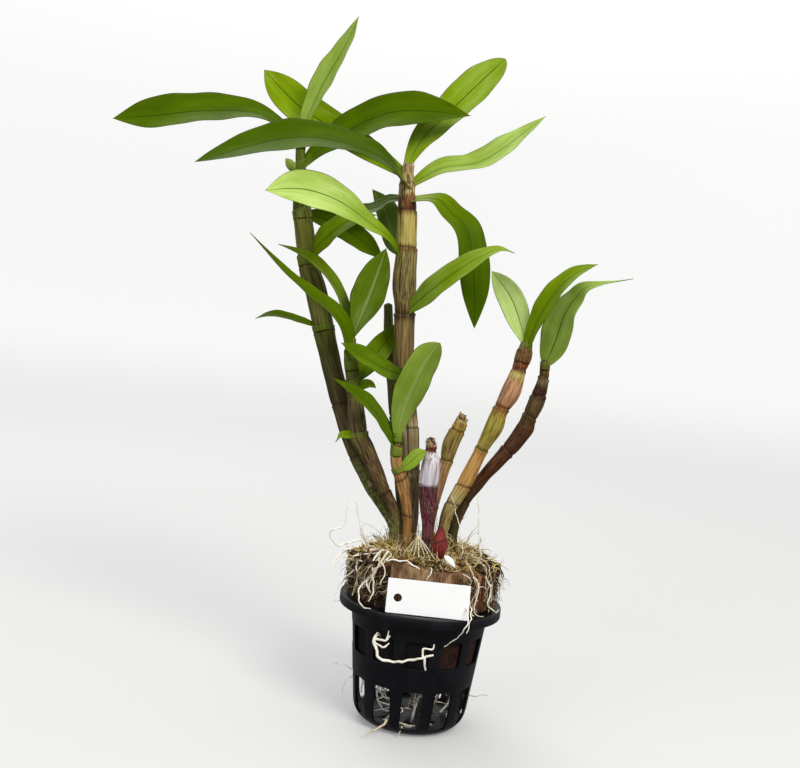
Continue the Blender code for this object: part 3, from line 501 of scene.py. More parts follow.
caneForm = {"sides": 40, "joints": 8, "spacing": 0.55, "slope": 0.8, "roundEnd": 0.5}
canePaint = {  # shades and shares for every cane; streaks, fine and the like stretch a pattern round and along it
    "pale": (206, 186, 124), "paleShare": 0.5, "green": 0.97, "warm": 0.84, "streak": (36, 23, 12),
    "blotch": (60, 42, 24), "blotchShare": 0.28, "crust": (112, 116, 66), "crustShare": 0.85,
    "ring": (50, 26, 10), "ringShare": 0.85, "clasped": (98, 120, 30), "shred": ((122, 92, 58), (206, 184, 140)),
    "shredShare": 0.9, "streaks": (1.1, 1.1, 0.03), "fine": (3.0, 3.0, 0.022), "blotches": (0.35, 0.35, 0.06),
    "crusts": (0.6, 0.6, 0.5)}
shredForm = {"depth": 0.85, "shorter": 0.5, "curl": (0.05, 0.45), "foot": (1.2, 2.0), "middle": 1.3, "tip": 0.15,
             "flat": 0.2}
caneRings = {"wobble": 0.15, "lip": 0.55, "width": 0.7, "groove": 0.35, "grooveAt": 1.5, "swell": 0.35,
             "swellReach": 5.0, "clear": 4.0, "darkAt": 1.1, "darkWidth": 0.8, "rib": 0.10, "wave": 0.06,
             "crust": 0.35}
claspForm = {"sides": 36, "reach": 5.0, "widthShare": 0.3, "height": 0.8, "lift": 0.35,
             "section": [  # share of its height, and how far it stands off the cane
                 (-1.0, 0.12), (-0.6, 0.40), (0.0, 0.50), (0.8, 0.70), (1.0, 0.65), (0.85, 0.4), (0.0, 0.1),
                 (-0.8, 0.02)]}


def caneSkin(name, look):
    material, tree = newMaterial(name + "_skin", Roughness=0.5, Specular_IOR_Level=0.14)
    look = {**canePaint, **look}
    uv = addNode(tree, "ShaderNodeUVMap", uv_map="UVMap").outputs[0]
    share = addNode(tree, "ShaderNodeSeparateXYZ", {0: uv}).outputs[1]
    flow = readMark(tree, "flow", "Vector")
    blotch = addNoise(tree, flow, look["blotches"], detail=4)
    streak = addNoise(tree, flow, look["streaks"], detail=3)
    fine = addNoise(tree, flow, look["fine"], detail=2)
    shifted = plus(tree, share, addRange(tree, blotch, 0.3, 0.7, -0.006, 0.006))
    depth, green, warm = look["depth"], look["green"], look["warm"]
    base = addRamp(tree, shifted, [(place, (r * depth, g * depth * green, b * depth * warm))
                                   for place, (r, g, b) in look["bands"]])

    def paint(amount, shade):  # lay a shade over what is there
        return addMix(tree, amount, base, colour(*shade))
    base = paint(addRange(tree, streak, 0.38, 0.56, min(0.9, look["stripes"] * 1.45), 0.0), look["streak"])
    base = paint(addRange(tree, fine, 0.50, 0.70, 0.0, look["paleShare"]), look["pale"])
    base = paint(addRange(tree, blotch, 0.55, 0.75, 0.0, look["blotchShare"]), look["blotch"])
    if look.get("moss"):
        crust = addNoise(tree, flow, look["crusts"], detail=6, rough=0.7)
        low = addRange(tree, share, look["moss"] * 0.7, look["moss"], 1.0, 0.0)
        crust = addRange(tree, crust, 0.42, 0.58, 0.0, look["crustShare"])
        base = paint(times(tree, low, crust), look["crust"])
    base = paint(times(tree, readMark(tree, "band"), look["ringShare"]), look["ring"])
    kind = readMark(tree, "tone")                               # 1 on a leaf's base, -1 on a papery shred
    if look.get("clasp"):
        base = paint(times(tree, kind, look["clasp"], True), look["clasped"])
    dark, light = look["shred"]
    paper = addMix(tree, addRange(tree, fine, 0.4, 0.6), colour(*dark), colour(*light))
    base = addMix(tree, times(tree, kind, -look["shredShare"], True), base, paper)
    height = plus(tree, streak, times(tree, fine, 0.5))
    wire(tree, Base_Color=base, Normal=addBump(tree, height, 0.5, 0.6),
         Roughness=addRange(tree, streak, 0.3, 0.7, 0.62, 0.38))
    return material


def caneRelief(look, draw):
    slope = look.get("slope", caneForm["slope"])
    rings = [(share, lip, draw.uniform(0, turn), draw.uniform(0.5, 1.5) * slope) for share, lip in look["rings"]]
    waves = [(draw.randint(2, 6), draw.uniform(0, turn), draw.uniform(0.05, 0.13)) for _ in range(6)]
    ribs, ribTurn, form = look["ribs"], draw.uniform(0, turn), caneRings

    def ringPlace(ring, angle, length):
        share, _, way, slope = ring
        return share * length + slope * np.cos(angle - way) + caneRings["wobble"] * np.sin(5 * angle + way)

    def relief(angle, distance, length):
        near = np.ones_like(angle)
        change = np.zeros_like(angle)
        for ring in rings:
            gap, lip = distance - ringPlace(ring, angle, length), ring[1]
            change += lip * form["lip"] * np.exp(-(gap / form["width"]) ** 2)
            change -= form["groove"] * np.exp(-((gap - form["grooveAt"]) / form["width"]) ** 2)
            change += lip * form["swell"] * np.exp(np.minimum(gap, 0) / form["swellReach"]) * (gap < 0)
            near *= 1 - np.exp(-(gap / form["clear"]) ** 2)
        change += form["rib"] * np.cos(ribs * angle + ribTurn) * near
        for count, phase, rate in waves:
            change += form["wave"] * np.cos(count * angle + rate * distance * 3 + phase)
        if look.get("moss"):
            crust = np.clip(1 - distance / (look["moss"] * length), 0, 1) * form["crust"]
            change += crust * (np.sin(3.1 * distance + 4 * angle) * np.cos(2.3 * distance - 6 * angle) + 0.4)
        return change

    def band(angle, distance, length):
        dark = np.zeros_like(angle)
        for ring in rings:
            gap = distance - ringPlace(ring, angle, length)
            dark = np.maximum(dark, np.exp(-((gap - form["darkAt"]) / form["darkWidth"]) ** 2))
        return dark
    return relief, band


def canePath(name):  # even places up a cane, and the distance along it
    return evenPath(smoothPath(caneRoutes[name], caneForm["joints"]), 0.5)


def addShreds(shape, name, shreds, draw):  # torn papery remains of old sheaths that stand off the cane
    path = canePath(name)[0]
    ahead, across, up = pathFrames(path)
    for share, count, reach in shreds:
        at = int(share * (len(path) - 1))
        first = draw.uniform(0, turn)
        for i in range(count):
            angle = first + (i + draw.uniform(-0.3, 0.3)) * turn / count
            radial = across[at] * math.cos(angle) + up[at] * math.sin(angle)
            foot = path[at, :3] + radial * path[at, 3] * shredForm["depth"]
            long, curl = reach * draw.uniform(shredForm["shorter"], 1.0), draw.uniform(*shredForm["curl"])
            route = [(*foot, draw.uniform(*shredForm["foot"])),
                     (*(foot + ahead[at] * long * 0.5 + radial * long * 0.12), shredForm["middle"]),
                     (*(foot + ahead[at] * long + radial * long * curl), shredForm["tip"])]
            addTube(shape, smoothPath(route, 6), 8, 0.7, tone=-1.0, flat=shredForm["flat"],
                    twist=math.atan2(radial[1], radial[0]) - turn / 4, share=share)


def addClasp(shape, name):  # a leaf's base, a short sleeve round its cane that is taller on the leaf's side
    cane, midrib, width = leaves[name][:3]
    path, distance = canePath(cane)
    across, up = pathFrames(path)[1:]
    foot = np.array(midrib[0], float)
    at = int(np.argmin(np.linalg.norm(path[:, :3] - foot, axis=1)))
    out = np.array(midrib[1], float) - foot
    reach = min(claspForm["reach"], width * claspForm["widthShare"])
    angle = np.arange(claspForm["sides"]) / claspForm["sides"] * turn
    rise = np.cos(angle - math.atan2(out.dot(up[at]), out.dot(across[at])))
    radial = np.cos(angle)[:, None] * across[at] + np.sin(angle)[:, None] * up[at]
    rings, flow = [], []
    for level, proud in claspForm["section"]:
        place = distance[at] + level * reach * claspForm["height"] + max(level, 0) * claspForm["lift"] * reach * rise
        centre = np.stack([np.interp(place, distance, column) for column in path.T], axis=1)
        rings.append(centre[:, :3] + radial * (centre[:, 3:4] + proud))
        flow.append(np.stack([np.cos(angle) * centre[:, 3], np.sin(angle) * centre[:, 3], place], axis=1))
    rings, flow = (np.array(rows).transpose(1, 0, 2) for rows in (rings, flow))
    n, m = rings.shape[:2]
    grid = shape["count"] + np.arange(n * m).reshape(n, m)
    east, north = np.roll(grid, -1, axis=0), np.roll(grid, -1, axis=1)
    corner = np.roll(east, -1, axis=1)
    shape["faces"] += np.stack([grid, east, corner, north], axis=-1).reshape(-1, 4).tolist()
    shape["points"].append(rings.reshape(-1, 3))
    shape["count"] += n * m
    shape["uv"].append(np.tile(np.array([[0.3, at / len(path)]]), (n * m * 4, 1)))
    for key, values in (("flow", flow.reshape(-1, 3)), ("band", np.zeros(n * m)), ("tone", np.ones(n * m))):
        shape["marks"].setdefault(key, []).append(values)


def buildCanes():
    draw = random.Random(21)
    for name, look in caneLooks.items():
        relief, band = caneRelief(look, draw)
        shape = newShape()
        addTube(shape, smoothPath(caneRoutes[name], caneForm["joints"]), caneForm["sides"], caneForm["spacing"],
                relief, band, roundEnd=caneForm["roundEnd"])
        for leaf in leaves:
            if "clasp" in look and leaves[leaf][0] == name:
                addClasp(shape, leaf)
        addShreds(shape, name, look.get("shreds", []), draw)
        keepPiece(makeMesh("fine_" + name, shape, caneSkin(name, look)), look["slot"], name)


leafForm = {"rowStep": 1.8, "tipRows": 1.5, "columns": (0.0, 0.04, 0.10, 0.22, 0.40, 0.60, 0.80, 0.93, 1.0),
            "thickness": 0.9, "edge": 0.3, "edgePower": 2.2, "tipThickness": 0.35, "keel": 0.5, "groove": 0.35,
            "ribWidth": 0.06, "ribFade": 0.7, "wave": 0.05, "ripples": (2.3, 5.1), "sideShift": 1.3, "point": 0.4}
# cane, midrib from the cane out, width, direction across (foot and tip, if two), channel, widest, tone, extras
leaves = {
    "leaf_tall_left": (
        "cane_tall_left", [(-104, 12, 349), (-129, 4, 362), (-162, -4, 359),
                           (-190, -10, 352), (-214, -14, 347)],
        28, ((2, 20, 9), (2, 9, 22)), 0.28, 0.6, 0.08, {"tip": 1.4}),
    "leaf_tall_upright": (
        "cane_tall_left", [(-105, 12, 354), (-96, 10, 381), (-85, 6, 404), (-80, 4, 415), (-76, 2, 427)],
        21, (-11, 12, 4), 0.25, 0.45, 0.74, {}),
    "leaf_tall_right": (
        "cane_tall_left", [(-103, 12, 334), (-84, 10, 353), (-48, 6, 373), (-2, -2, 374)],
        28, ((-6, 12, 20), (-3, 12, 20)), 0.22, 0.55, 0.08, {}),
    "leaf_tall_middle": (
        "cane_tall_left", [(-92, 11, 278), (-85, 4, 288), (-75, -1, 298), (-64, -4, 305), (-52, -5, 308)],
        19, ((-9, 12, 13), (-4, 14, 12)), 0.20, 0.45, 0.45, {}),
    "leaf_tall_back": (
        "cane_tall_left", [(-99, 12, 306), (-82, 21, 304), (-64, 27, 296), (-46, 26, 284)],
        18, (4, 8, 14), 0.20, 0.5, 0.25, {}),
    "leaf_tall_curl": (
        "cane_tall_left", [(-78, 9, 236), (-93, 5, 240), (-108, 0, 242), (-119, -4, 238)],
        7, (0, 6, 5), 0.20, 0.5, 0.2, {}),
    "leaf_tall_bract": (
        "cane_tall_left", [(-104, 11, 331), (-108, 8, 334), (-110, 7, 336), (-112, 6, 338)],
        6, (4, 1, 3), 0.20, 0.5, 0.2, {}),
    "leaf_second_wide": (
        "cane_second_left", [(-60, -6, 231), (-53, -8, 253), (-48, -10, 272), (-44, -14, 288)],
        22, (-23, -9, 1), 0.18, 0.5, 0.03, {"start": 1.4, "foot": 0.15}),
    "leaf_second_long": (
        "cane_second_left", [(-58, -6, 216), (-66, -18, 241), (-87, -25, 257),
                             (-102, -27, 268), (-123, -30, 287)],
        17, (7, 16, 3), 0.30, 0.28, 0.22, {"tip": 1, "sharp": 1.3}),
    "leaf_second_upper": (
        "cane_second_left", [(-59, -6, 220), (-69, -1, 256), (-87, -7, 276), (-109, -10, 284)],
        16, (2, 14, 7), 0.25, 0.45, 0.45, {}),
    "leaf_second_right": (
        "cane_second_left", [(-55, -6, 205), (-46, 5, 220), (-39, 18, 232), (-31, 22, 246)],
        16, (12, -6, -8), 0.18, 0.5, 0.25, {}),
    "leaf_second_curl": (
        "cane_second_left", [(-55, -6, 201), (-49, -10, 205), (-45, -12, 206), (-41, -13, 204)],
        6, (-2, 2, 5), 0.15, 0.5, 0.3, {}),
    "leaf_second_bract": (
        "cane_second_left", [(-49, -6, 174), (-54, -10, 174), (-59, -12, 173), (-62, -13, 169)],
        6, (2, 4, 4), 0.15, 0.5, 0.5, {}),
    "leaf_centre_up_left": (
        "cane_centre", [(-36, 7, 335), (-75, 20, 357), (-109, 31, 375), (-136, 38, 398)],
        23, (13, 5, 19), 0.18, 0.68, 0.52, {"tip": 1.8}),
    "leaf_centre_arching": (
        "cane_centre", [(-36, 6, 330), (-58, -20, 342), (-100, -42, 342), (-153, -58, 320)],
        28, ((-6, 18, 15), (-6, 16, 17)), 0.24, 0.5, 0.0, {"tip": 1.6, "foot": 0.45}),
    "leaf_centre_up_right": (
        "cane_centre", [(-37, 7, 341), (-29, 12, 360), (-5, 20, 391), (17, 26, 418)],
        25, (-16, 12, 15), 0.20, 0.6, 0.6, {"tip": 1.9, "sharp": 0.65}),
    "leaf_centre_right": (
        "cane_centre", [(-36, 7, 327), (-17, 10, 342), (11, 16, 352), (46, 22, 384)],
        20, (-7, 14, 12), 0.25, 0.5, 0.80, {"wave": 0.06, "footToneAndShade": -0.3}),
    # its negative footToneAndShade is painted shade on its folded foot
    "leaf_centre_wide": (
        "cane_centre", [(-31, 7, 281), (-43, -4, 295), (-56, -16, 302),
                        (-73, -33, 310), (-93, -46, 313), (-113, -56, 309)],
        26, (-3, 12, 22), 0.18, 0.64, 0.92,
        {"start": 2.6, "foot": 0.24, "tip": 1.7, "footToneAndShade": -0.85}),
    "leaf_centre_hanging": (
        "cane_centre", [(-35, 6, 320), (-17, 0, 322), (-7, -3, 314), (3, -6, 305),
                        (8, -8, 290), (11, -9, 272), (14, -10, 246)],
        21, ((5, 10, 8), (19, 5, 4)), 0.18, 0.6, 0.0, {"foot": 0.4, "footToneAndShade": 0.7}),
    "leaf_centre_lower_right": (
        "cane_centre", [(-29, 8, 251), (-15, -14, 265), (-3, -26, 276),
                        (10, -34, 286), (21, -37, 292), (30, -39, 291)],
        16, (-11, 14, 9), 0.22, 0.45, 0.62, {}),
    "leaf_centre_high_left": (
        "cane_centre", [(-34, 6, 321), (-45, 10, 320), (-55, 14, 314), (-76, 18, 310)],
        14, (0, 10, 8), 0.20, 0.5, 0.25, {}),
    "leaf_centre_back_left": (
        "cane_centre", [(-32, 8, 287), (-41, 19, 298), (-47, 24, 313), (-58, 28, 328)],
        18, (9, -6, 3), 0.20, 0.5, 0.2, {}),
    "leaf_centre_low_left": (
        "cane_centre", [(-25, 8, 213), (-35, -10, 215), (-48, -20, 221), (-64, -26, 229)],
        15, (3, 10, 7), 0.20, 0.65, 0.3, {}),
    "leaf_small_left": (
        "cane_small_front", [(-25, -10, 167), (-34, -15, 182), (-46, -24, 196), (-66, -32, 208)],
        13, (2, 10, 8), 0.25, 0.4, 0.22, {}),
    "leaf_small_right": (
        "cane_small_front", [(-25, -10, 176), (-24, -12, 188), (-19, -17, 208),
                             (-13, -19, 224), (-6, -20, 235)],
        22, (-15, -9, 7), 0.15, 0.55, 0.15, {"tip": 1.9, "sharp": 0.65}),
    "leaf_small_low": (
        "cane_small_front", [(-22, -9, 156), (-16, -13, 161), (-12, -15, 166), (-7, -17, 170)],
        9, (-6, 4, 6), 0.20, 0.5, 0.72, {"tip": 2}),
    "leaf_inner_left": (
        "cane_right_inner", [(47, -6, 239), (43, -1, 251), (35, 4, 268), (22, 8, 283)],
        16, (-17, 6, 1), 0.20, 0.5, 1, {"tip": 1.7}),
    "leaf_inner_right": (
        "cane_right_inner", [(46, -6, 232), (51, -13, 254), (59, -19, 272), (69, -22, 284), (81, -24, 291)],
        17, (-9, 16, 5), 0.25, 0.5, 0.48, {"tip": 1.7}),
    "leaf_outer": (
        "cane_right_outer", [(60, -2, 229), (64, -8, 244), (67, -11, 260),
                             (72, -14, 270), (79, -17, 278), (103, -22, 285)],
        22, ((-16, 13, 4), (-10, 17, 5)), 0.20, 0.28, 0.78, {"tip": 1, "sharp": 2, "start": 0.8}),
}
lightLeaves = ("leaf_centre_wide", "leaf_centre_low_left", "leaf_small_low", "leaf_small_left",
               "leaf_small_right", "leaf_second_bract", "leaf_second_curl", "leaf_tall_bract")
leafLooks = {  # ramp: share of tone and colour, from a deep old leaf to a pale young one
    "green_leaf": {
        "ramp": [(0.0, (58, 82, 0)), (0.3, (84, 108, 0)), (0.55, (118, 144, 12)), (0.78, (146, 172, 74)),
                 (1.0, (190, 214, 128))],
        "under": (88, 112, 18), "vein": (38, 56, 0), "specked": False},
    "light_leaf": {
        "ramp": [(0.0, (50, 78, 0)), (0.3, (82, 108, 4)), (0.55, (120, 148, 16)), (0.78, (150, 180, 66)),
                 (1.0, (190, 214, 122))],
        "under": (112, 138, 34), "vein": (46, 68, 2), "specked": True},
}
leafPaint = {"cell": (150, 180, 20), "speck": (214, 222, 190), "keel": (196, 208, 140), "rim": (52, 56, 12),
             "foot": (150, 168, 60), "tip": (96, 74, 34), "patches": (0.10, 0.10, 0.03), "veins": (46.0, 1.3)}
leafLayers = [  # pattern, two values of it, the shade's share at each, and the shade
    ("veins", 0.50, 0.68, 0.0, 0.30, "vein"), ("cells", 0.5, 0.75, 0.0, 0.12, "cell"),
    ("specks", 0.70, 0.74, 0.0, 0.5, "speck"), ("off", 0.006, 0.024, 0.85, 0.0, "vein"),
    ("off", 0.012, 0.05, 0.35, 0.0, "keel"), ("off", 0.470, 0.496, 0.0, 0.75, "rim"),
    ("along", 0.0, 0.10, 0.55, 0.0, "foot"), ("along", 0.985, 1.0, 0.0, 0.8, "tip")]


def leafSkin(name, look):
    material, tree = newMaterial(name + "_skin", Roughness=0.36, Specular_IOR_Level=0.05,
                                 Specular_Tint=(0.7, 0.85, 0.25, 1.0))
    uv = addNode(tree, "ShaderNodeUVMap", uv_map="UVMap").outputs[0]
    across, along = addNode(tree, "ShaderNodeSeparateXYZ", {0: uv}).outputs[:2]
    flow = readMark(tree, "flow", "Vector")
    tone, under = readMark(tree, "tone"), readMark(tree, "band")
    patch = addNoise(tree, flow, leafPaint["patches"], detail=3)
    cells = addNoise(tree, flow, 1.6, 4, 0.7)
    tone = plus(tree, tone, addRange(tree, patch, 0.3, 0.7, -0.12, 0.12), True)
    upper = addRamp(tree, tone, look["ramp"])
    lower = addMix(tree, times(tree, tone, 0.95), colour(*look["under"]), colour(*look["ramp"][-1][1]))
    base = addMix(tree, under, upper, lower)
    wide, long = leafPaint["veins"]
    veins = addNoise(tree, vectorOf(tree, times(tree, across, wide), times(tree, along, long)), 1.0, 2.0)
    off = addMath(tree, "ABSOLUTE", addMath(tree, "SUBTRACT", across, 0.5))   # how far from the midrib
    patterns = {"veins": veins, "cells": cells, "off": off, "along": along}
    if look["specked"]:
        patterns["specks"] = addNoise(tree, flow, 0.9, 2, 0.6)
    shades = {**leafPaint, **look}
    for pattern, low, high, first, last, shade in leafLayers:
        if pattern in patterns:
            amount = addRange(tree, patterns[pattern], low, high, first, last)
            if shade == "keel":
                amount = times(tree, amount, under)
            base = addMix(tree, amount, base, colour(*shades[shade]))
    height = addMath(tree, "SUBTRACT", times(tree, cells, 0.25), veins)
    rough = plus(tree, addRange(tree, cells, 0.3, 0.7, 0.28, 0.42), times(tree, under, 0.15))
    wire(tree, Base_Color=base, Normal=addBump(tree, height, 0.35, 0.45), Roughness=rough)
    return material


def halfWidth(t, widest, foot=0.22, start=1.0, tip=1.3, sharp=1.0):
    rise = foot + (1 - foot) * np.sin(math.pi / 2 * np.minimum(1.0, t / widest) ** start)
    fall = np.cos(math.pi / 2 * np.maximum(0.0, (t - widest) / (1 - widest)) ** tip)
    return rise * np.maximum(fall, 0.0) ** sharp


def addLeaf(shape, name, draw):
    midrib, width, sideways, channel, widest, tone, extras = leaves[name][1:]
    footSide, tipSide = np.broadcast_to(np.array(sideways, float), (2, 3))
    route = smoothPath(midrib, 24)
    reached = distances(route)
    t = 1 - (1 - np.linspace(0, 1, int(reached[-1] / leafForm["rowStep"]) + 8)) ** leafForm["tipRows"]
    distance = t * reached[-1]
    spine = np.stack([np.interp(distance, reached, column) for column in route.T], axis=1)
    t[-1] = 0.9995
    along = unit(np.gradient(spine, distance, axis=0))
    lean = footSide * (1 - t[:, None]) + tipSide * t[:, None]
    across = unit(lean - along * (lean * along).sum(axis=1, keepdims=True))
    upper = np.cross(along, across)
    if upper[len(t) // 2][2] < 0:
        across, upper = -across, -upper
    form = {key: value for key, value in extras.items() if key not in ("wave", "footToneAndShade")}
    # a positive footToneAndShade paints the leaf's own paler foot; a negative one darkens the foot as painted shade
    # where the base folds
    shade = tone + extras.get("footToneAndShade", 0.0) * (1 - t[:, None]) ** 3
    half = width / 2 * halfWidth(t, widest, **form)
    positive = np.array(leafForm["columns"])
    side = np.concatenate([positive[::-1], -positive[1:]])      # from one edge to the other over the top
    loop = np.concatenate([side, side[-2:0:-1]])                # and back underneath
    below = np.concatenate([np.zeros(len(side)), np.ones(len(side) - 2)])
    below[[0, len(side) - 1]] = 0.5
    thick = leafForm["edge"] + (leafForm["thickness"] - leafForm["edge"]) * (
        1 - np.abs(loop) ** leafForm["edgePower"])
    thick = thick[None, :] * np.minimum(1, leafForm["tipThickness"] + 3 * (1 - t[:, None]))
    rib = np.exp(-(loop / leafForm["ribWidth"]) ** 2)[None, :] * (1 - leafForm["ribFade"] * t[:, None])
    lift = np.where(below[None, :] < 0.5, thick / 2 - leafForm["groove"] * rib, 0)
    lift = np.where(below[None, :] > 0.5, -thick / 2 - leafForm["keel"] * rib, lift)
    wave, (slow, fast) = extras.get("wave", leafForm["wave"]), leafForm["ripples"]
    phases = [draw.uniform(0, turn) for _ in range(4)]
    side = np.sign(loop)[None, :]
    ripple = (np.sin(turn * slow * t[:, None] + phases[0] + side * leafForm["sideShift"])
              + 0.5 * np.sin(turn * fast * t[:, None] + phases[1] + side * phases[2]))
    lift = lift + half[:, None] * (channel * loop[None, :] ** 2 + wave * ripple * loop[None, :] ** 2)
    aside = half[:, None] * loop[None, :]
    points = spine[:, None] + across[:, None] * aside[..., None] + upper[:, None] * lift[..., None]
    marks = {"flow": np.stack([aside, np.repeat(below[None, :] * 9, len(t), axis=0),
                               np.repeat(distance[:, None], len(loop), axis=1)], axis=-1),
             "band": np.repeat(below[None, :], len(t), axis=0), "tone": np.repeat(shade, len(loop), axis=1)}
    columns = (np.append(loop, loop[0]) + 1) / 2
    addLoft(shape, points, columns, t, [points[0].mean(axis=0), spine[-1] + along[-1] * leafForm["point"]], marks)


def buildLeaves():
    skins = {slot: leafSkin(slot, look) for slot, look in leafLooks.items()}
    draw = random.Random(34)
    for name in leaves:
        shape = newShape()
        addLeaf(shape, name, draw)
        slot = "light_leaf" if name in lightLeaves else "green_leaf"
        keepPiece(makeMesh("fine_" + name, shape, skins[slot]), slot, name)


buildCanes()
buildLeaves()
print("canes and leaves are ready")


def newTree(name, sockets):  # a geometry tree with named inputs; returns it, its input sockets and their identifiers
    tree = bpy.data.node_groups.new(name, "GeometryNodeTree")
    tree.interface.new_socket("Geometry", in_out="INPUT", socket_type="NodeSocketGeometry")
    names = {}
    for key, kind in sockets.items():
        names[key] = tree.interface.new_socket(key, in_out="INPUT", socket_type="NodeSocket" + kind).identifier
    tree.interface.new_socket("Geometry", in_out="OUTPUT", socket_type="NodeSocketGeometry")
    return tree, addNode(tree, "NodeGroupInput").outputs, names


def closeTree(tree, geometry, material):
    geometry = addStep(tree, "RealizeInstances", {0: geometry})
    painted = addStep(tree, "SetMaterial", {0: geometry, "Material": material})
    addNode(tree, "NodeGroupOutput", {0: painted})


def runTree(source, tree, names, values, name, material):
    modifier = source.modifiers.new(tree.name, "NODES")
    modifier.node_group = tree
    for key, value in values.items():
        modifier[names[key]] = value
    modifier[names["Material"]] = material
    return plainMesh(source, name, material)


pot = {"height": 77.0, "wall": 1.6, "topRadius": 43.0, "footRadius": 34.2, "round": 12.5, "rim": 50.0, "skirt": 5.8,
       "upper": (44.5, 60.5, 14.0), "lower": (5.5, 29.5, 11.8), "slotCount": 12, "corner": 1.8,
       "cutDepth": 24.0, "drainCount": 6, "drainRadius": 3.5, "drainCircle": 15.0, "drainDepth": 12.0,
       # dustAndSheen is a bluish grey: partly dust, partly a painted sheen of the sky on the plastic
       "steps": 144, "softEdge": 0.35, "plastic": (4, 5, 9), "dustAndSheen": (38, 42, 50)}


def wallPattern(tree, shape, count, radius, height, upright):  # the same shape on a circle of points round Z
    way = times(tree, addStep(tree, "InputIndex"), addMath(tree, "DIVIDE", turn, count))
    spot = vectorOf(tree, times(tree, radius, addMath(tree, "SINE", way)),
                    times(tree, radius, times(tree, addMath(tree, "COSINE", way), -1.0)),
                    height)
    points = addStep(tree, "Points", {"Count": count, "Position": spot})
    facing = vectorOf(tree, math.pi / 2 if upright else 0.0, 0.0, way)
    return addStep(tree, "InstanceOnPoints", {"Points": points, "Instance": shape, "Rotation": facing})


def slotTree():
    tiers = ("Upper", "Lower")
    sockets = {"Slot count": "Int", "Corner": "Float", "Drain count": "Int", "Drain radius": "Float",
               "Drain circle": "Float", "Material": "Material"}
    for tier in tiers:
        sockets.update({tier + part: "Float" for part in (" width", " height", " middle", " radius")})
    tree, given, names = newTree("pot_slots", sockets)
    cutters = []
    for tier in tiers:
        outline = addStep(tree, "CurvePrimitiveQuadrilateral",
                          {"Width": given[tier + " width"], "Height": given[tier + " height"]})
        outline = addStep(tree, "FilletCurve", {"Curve": outline, "Count": 4, "Radius": given["Corner"]},
                          mode="POLY")
        plate = addStep(tree, "FillCurve", {"Curve": outline}, mode="NGONS")
        block = addStep(tree, "ExtrudeMesh", {"Mesh": plate, "Offset Scale": pot["cutDepth"] * mm})
        back = addStep(tree, "FlipFaces", {0: plate})
        both = addNode(tree, "GeometryNodeJoinGeometry", {0: block})
        tree.links.new(back, both.inputs[0])
        solid = addStep(tree, "MergeByDistance", {0: both.outputs[0], "Distance": 1e-5})
        cutters.append(wallPattern(tree, solid, given["Slot count"], given[tier + " radius"],
                                   given[tier + " middle"], True))
    drain = addStep(tree, "MeshCylinder",
                    {"Vertices": 24, "Radius": given["Drain radius"], "Depth": pot["drainDepth"] * mm})
    cutters.append(wallPattern(tree, drain, given["Drain count"], given["Drain circle"], 0.0, False))
    cut = addNode(tree, "GeometryNodeMeshBoolean", {"Mesh 1": given["Geometry"]}, operation="DIFFERENCE",
                  solver="EXACT")
    for cutter in cutters:
        tree.links.new(cutter, cut.inputs["Mesh 2"])
    closeTree(tree, cut.outputs[0], given["Material"])
    return tree, names


strandForm = {"points": 8, "sides": 4, "shortest": 0.35, "bendPower": 1.3, "taper": 0.75}


def strandTree():  # tapered strands that grow from faces where the mark called grow is above nothing
    tree, given, names = newTree("strands", {
        "Density": "Float", "Length": "Float", "Thickness": "Float", "Lean": "Float", "Upward": "Float",
        "Bend": "Float", "Curl": "Float", "Seed": "Int", "Material": "Material"})
    grow = addStep(tree, "InputNamedAttribute", {"Name": "grow"}, data_type="FLOAT")
    spread = addNode(tree, "GeometryNodeDistributePointsOnFaces",
                     {"Mesh": given["Geometry"], "Density": times(tree, grow, given["Density"]),
                      "Seed": given["Seed"]})
    tint = addNode(tree, "FunctionNodeRandomValue", {2: 0.0, 3: 1.0, "Seed": 5}, data_type="FLOAT").outputs[1]
    points = addStep(tree, "StoreNamedAttribute",
                     {"Geometry": spread.outputs[0], "Name": "tone", "Value": tint}, data_type="FLOAT",
                     domain="POINT")
    aside = addNode(tree, "FunctionNodeRandomValue", {0: (-1, -1, -1), 1: (1, 1, 1), "Seed": 9},
                    data_type="FLOAT_VECTOR").outputs[0]
    way = addVector(tree, "ADD", spread.outputs[1], addVector(tree, "SCALE", aside, given["Lean"]))
    way = addVector(tree, "ADD", way, vectorOf(tree, 0.0, 0.0, given["Upward"]))
    facing = addNode(tree, "FunctionNodeAlignRotationToVector", {"Vector": way}, axis="Z").outputs[0]
    reach = addNode(tree, "FunctionNodeRandomValue", {2: strandForm["shortest"], 3: 1.0, "Seed": 12},
                    data_type="FLOAT").outputs[1]
    reach = times(tree, reach, given["Length"])
    line = addStep(tree, "CurvePrimitiveLine", {"End": (0, 0, 1)})
    line = addStep(tree, "ResampleCurve", {"Curve": line, "Count": strandForm["points"]})
    strands = addStep(tree, "InstanceOnPoints",
                      {"Points": points, "Instance": line, "Rotation": facing,
                       "Scale": vectorOf(tree, reach, reach, reach)})
    strands = addStep(tree, "RealizeInstances", {0: strands})
    share = addStep(tree, "SplineParameter")
    place = addStep(tree, "InputPosition")
    swirl = addNode(tree, "ShaderNodeTexNoise", {"Vector": place, "Scale": given["Curl"], "Detail": 1.0})
    swirl = addVector(tree, "SUBTRACT", swirl.outputs["Color"], (0.5, 0.5, 0.5))
    push = times(tree, addMath(tree, "POWER", share, strandForm["bendPower"]), given["Bend"])
    strands = addStep(tree, "SetPosition", {"Geometry": strands, "Offset": addVector(tree, "SCALE", swirl, push)})
    ring = addStep(tree, "CurvePrimitiveCircle", {"Resolution": strandForm["sides"], "Radius": 1.0})
    taper = addMath(tree, "SUBTRACT", 1.0, times(tree, share, strandForm["taper"]))
    taper = times(tree, taper, given["Thickness"])
    skin = addStep(tree, "CurveToMesh", {"Curve": strands, "Profile Curve": ring, "Scale": taper, "Fill Caps": True})
    closeTree(tree, skin, given["Material"])
    return tree, names


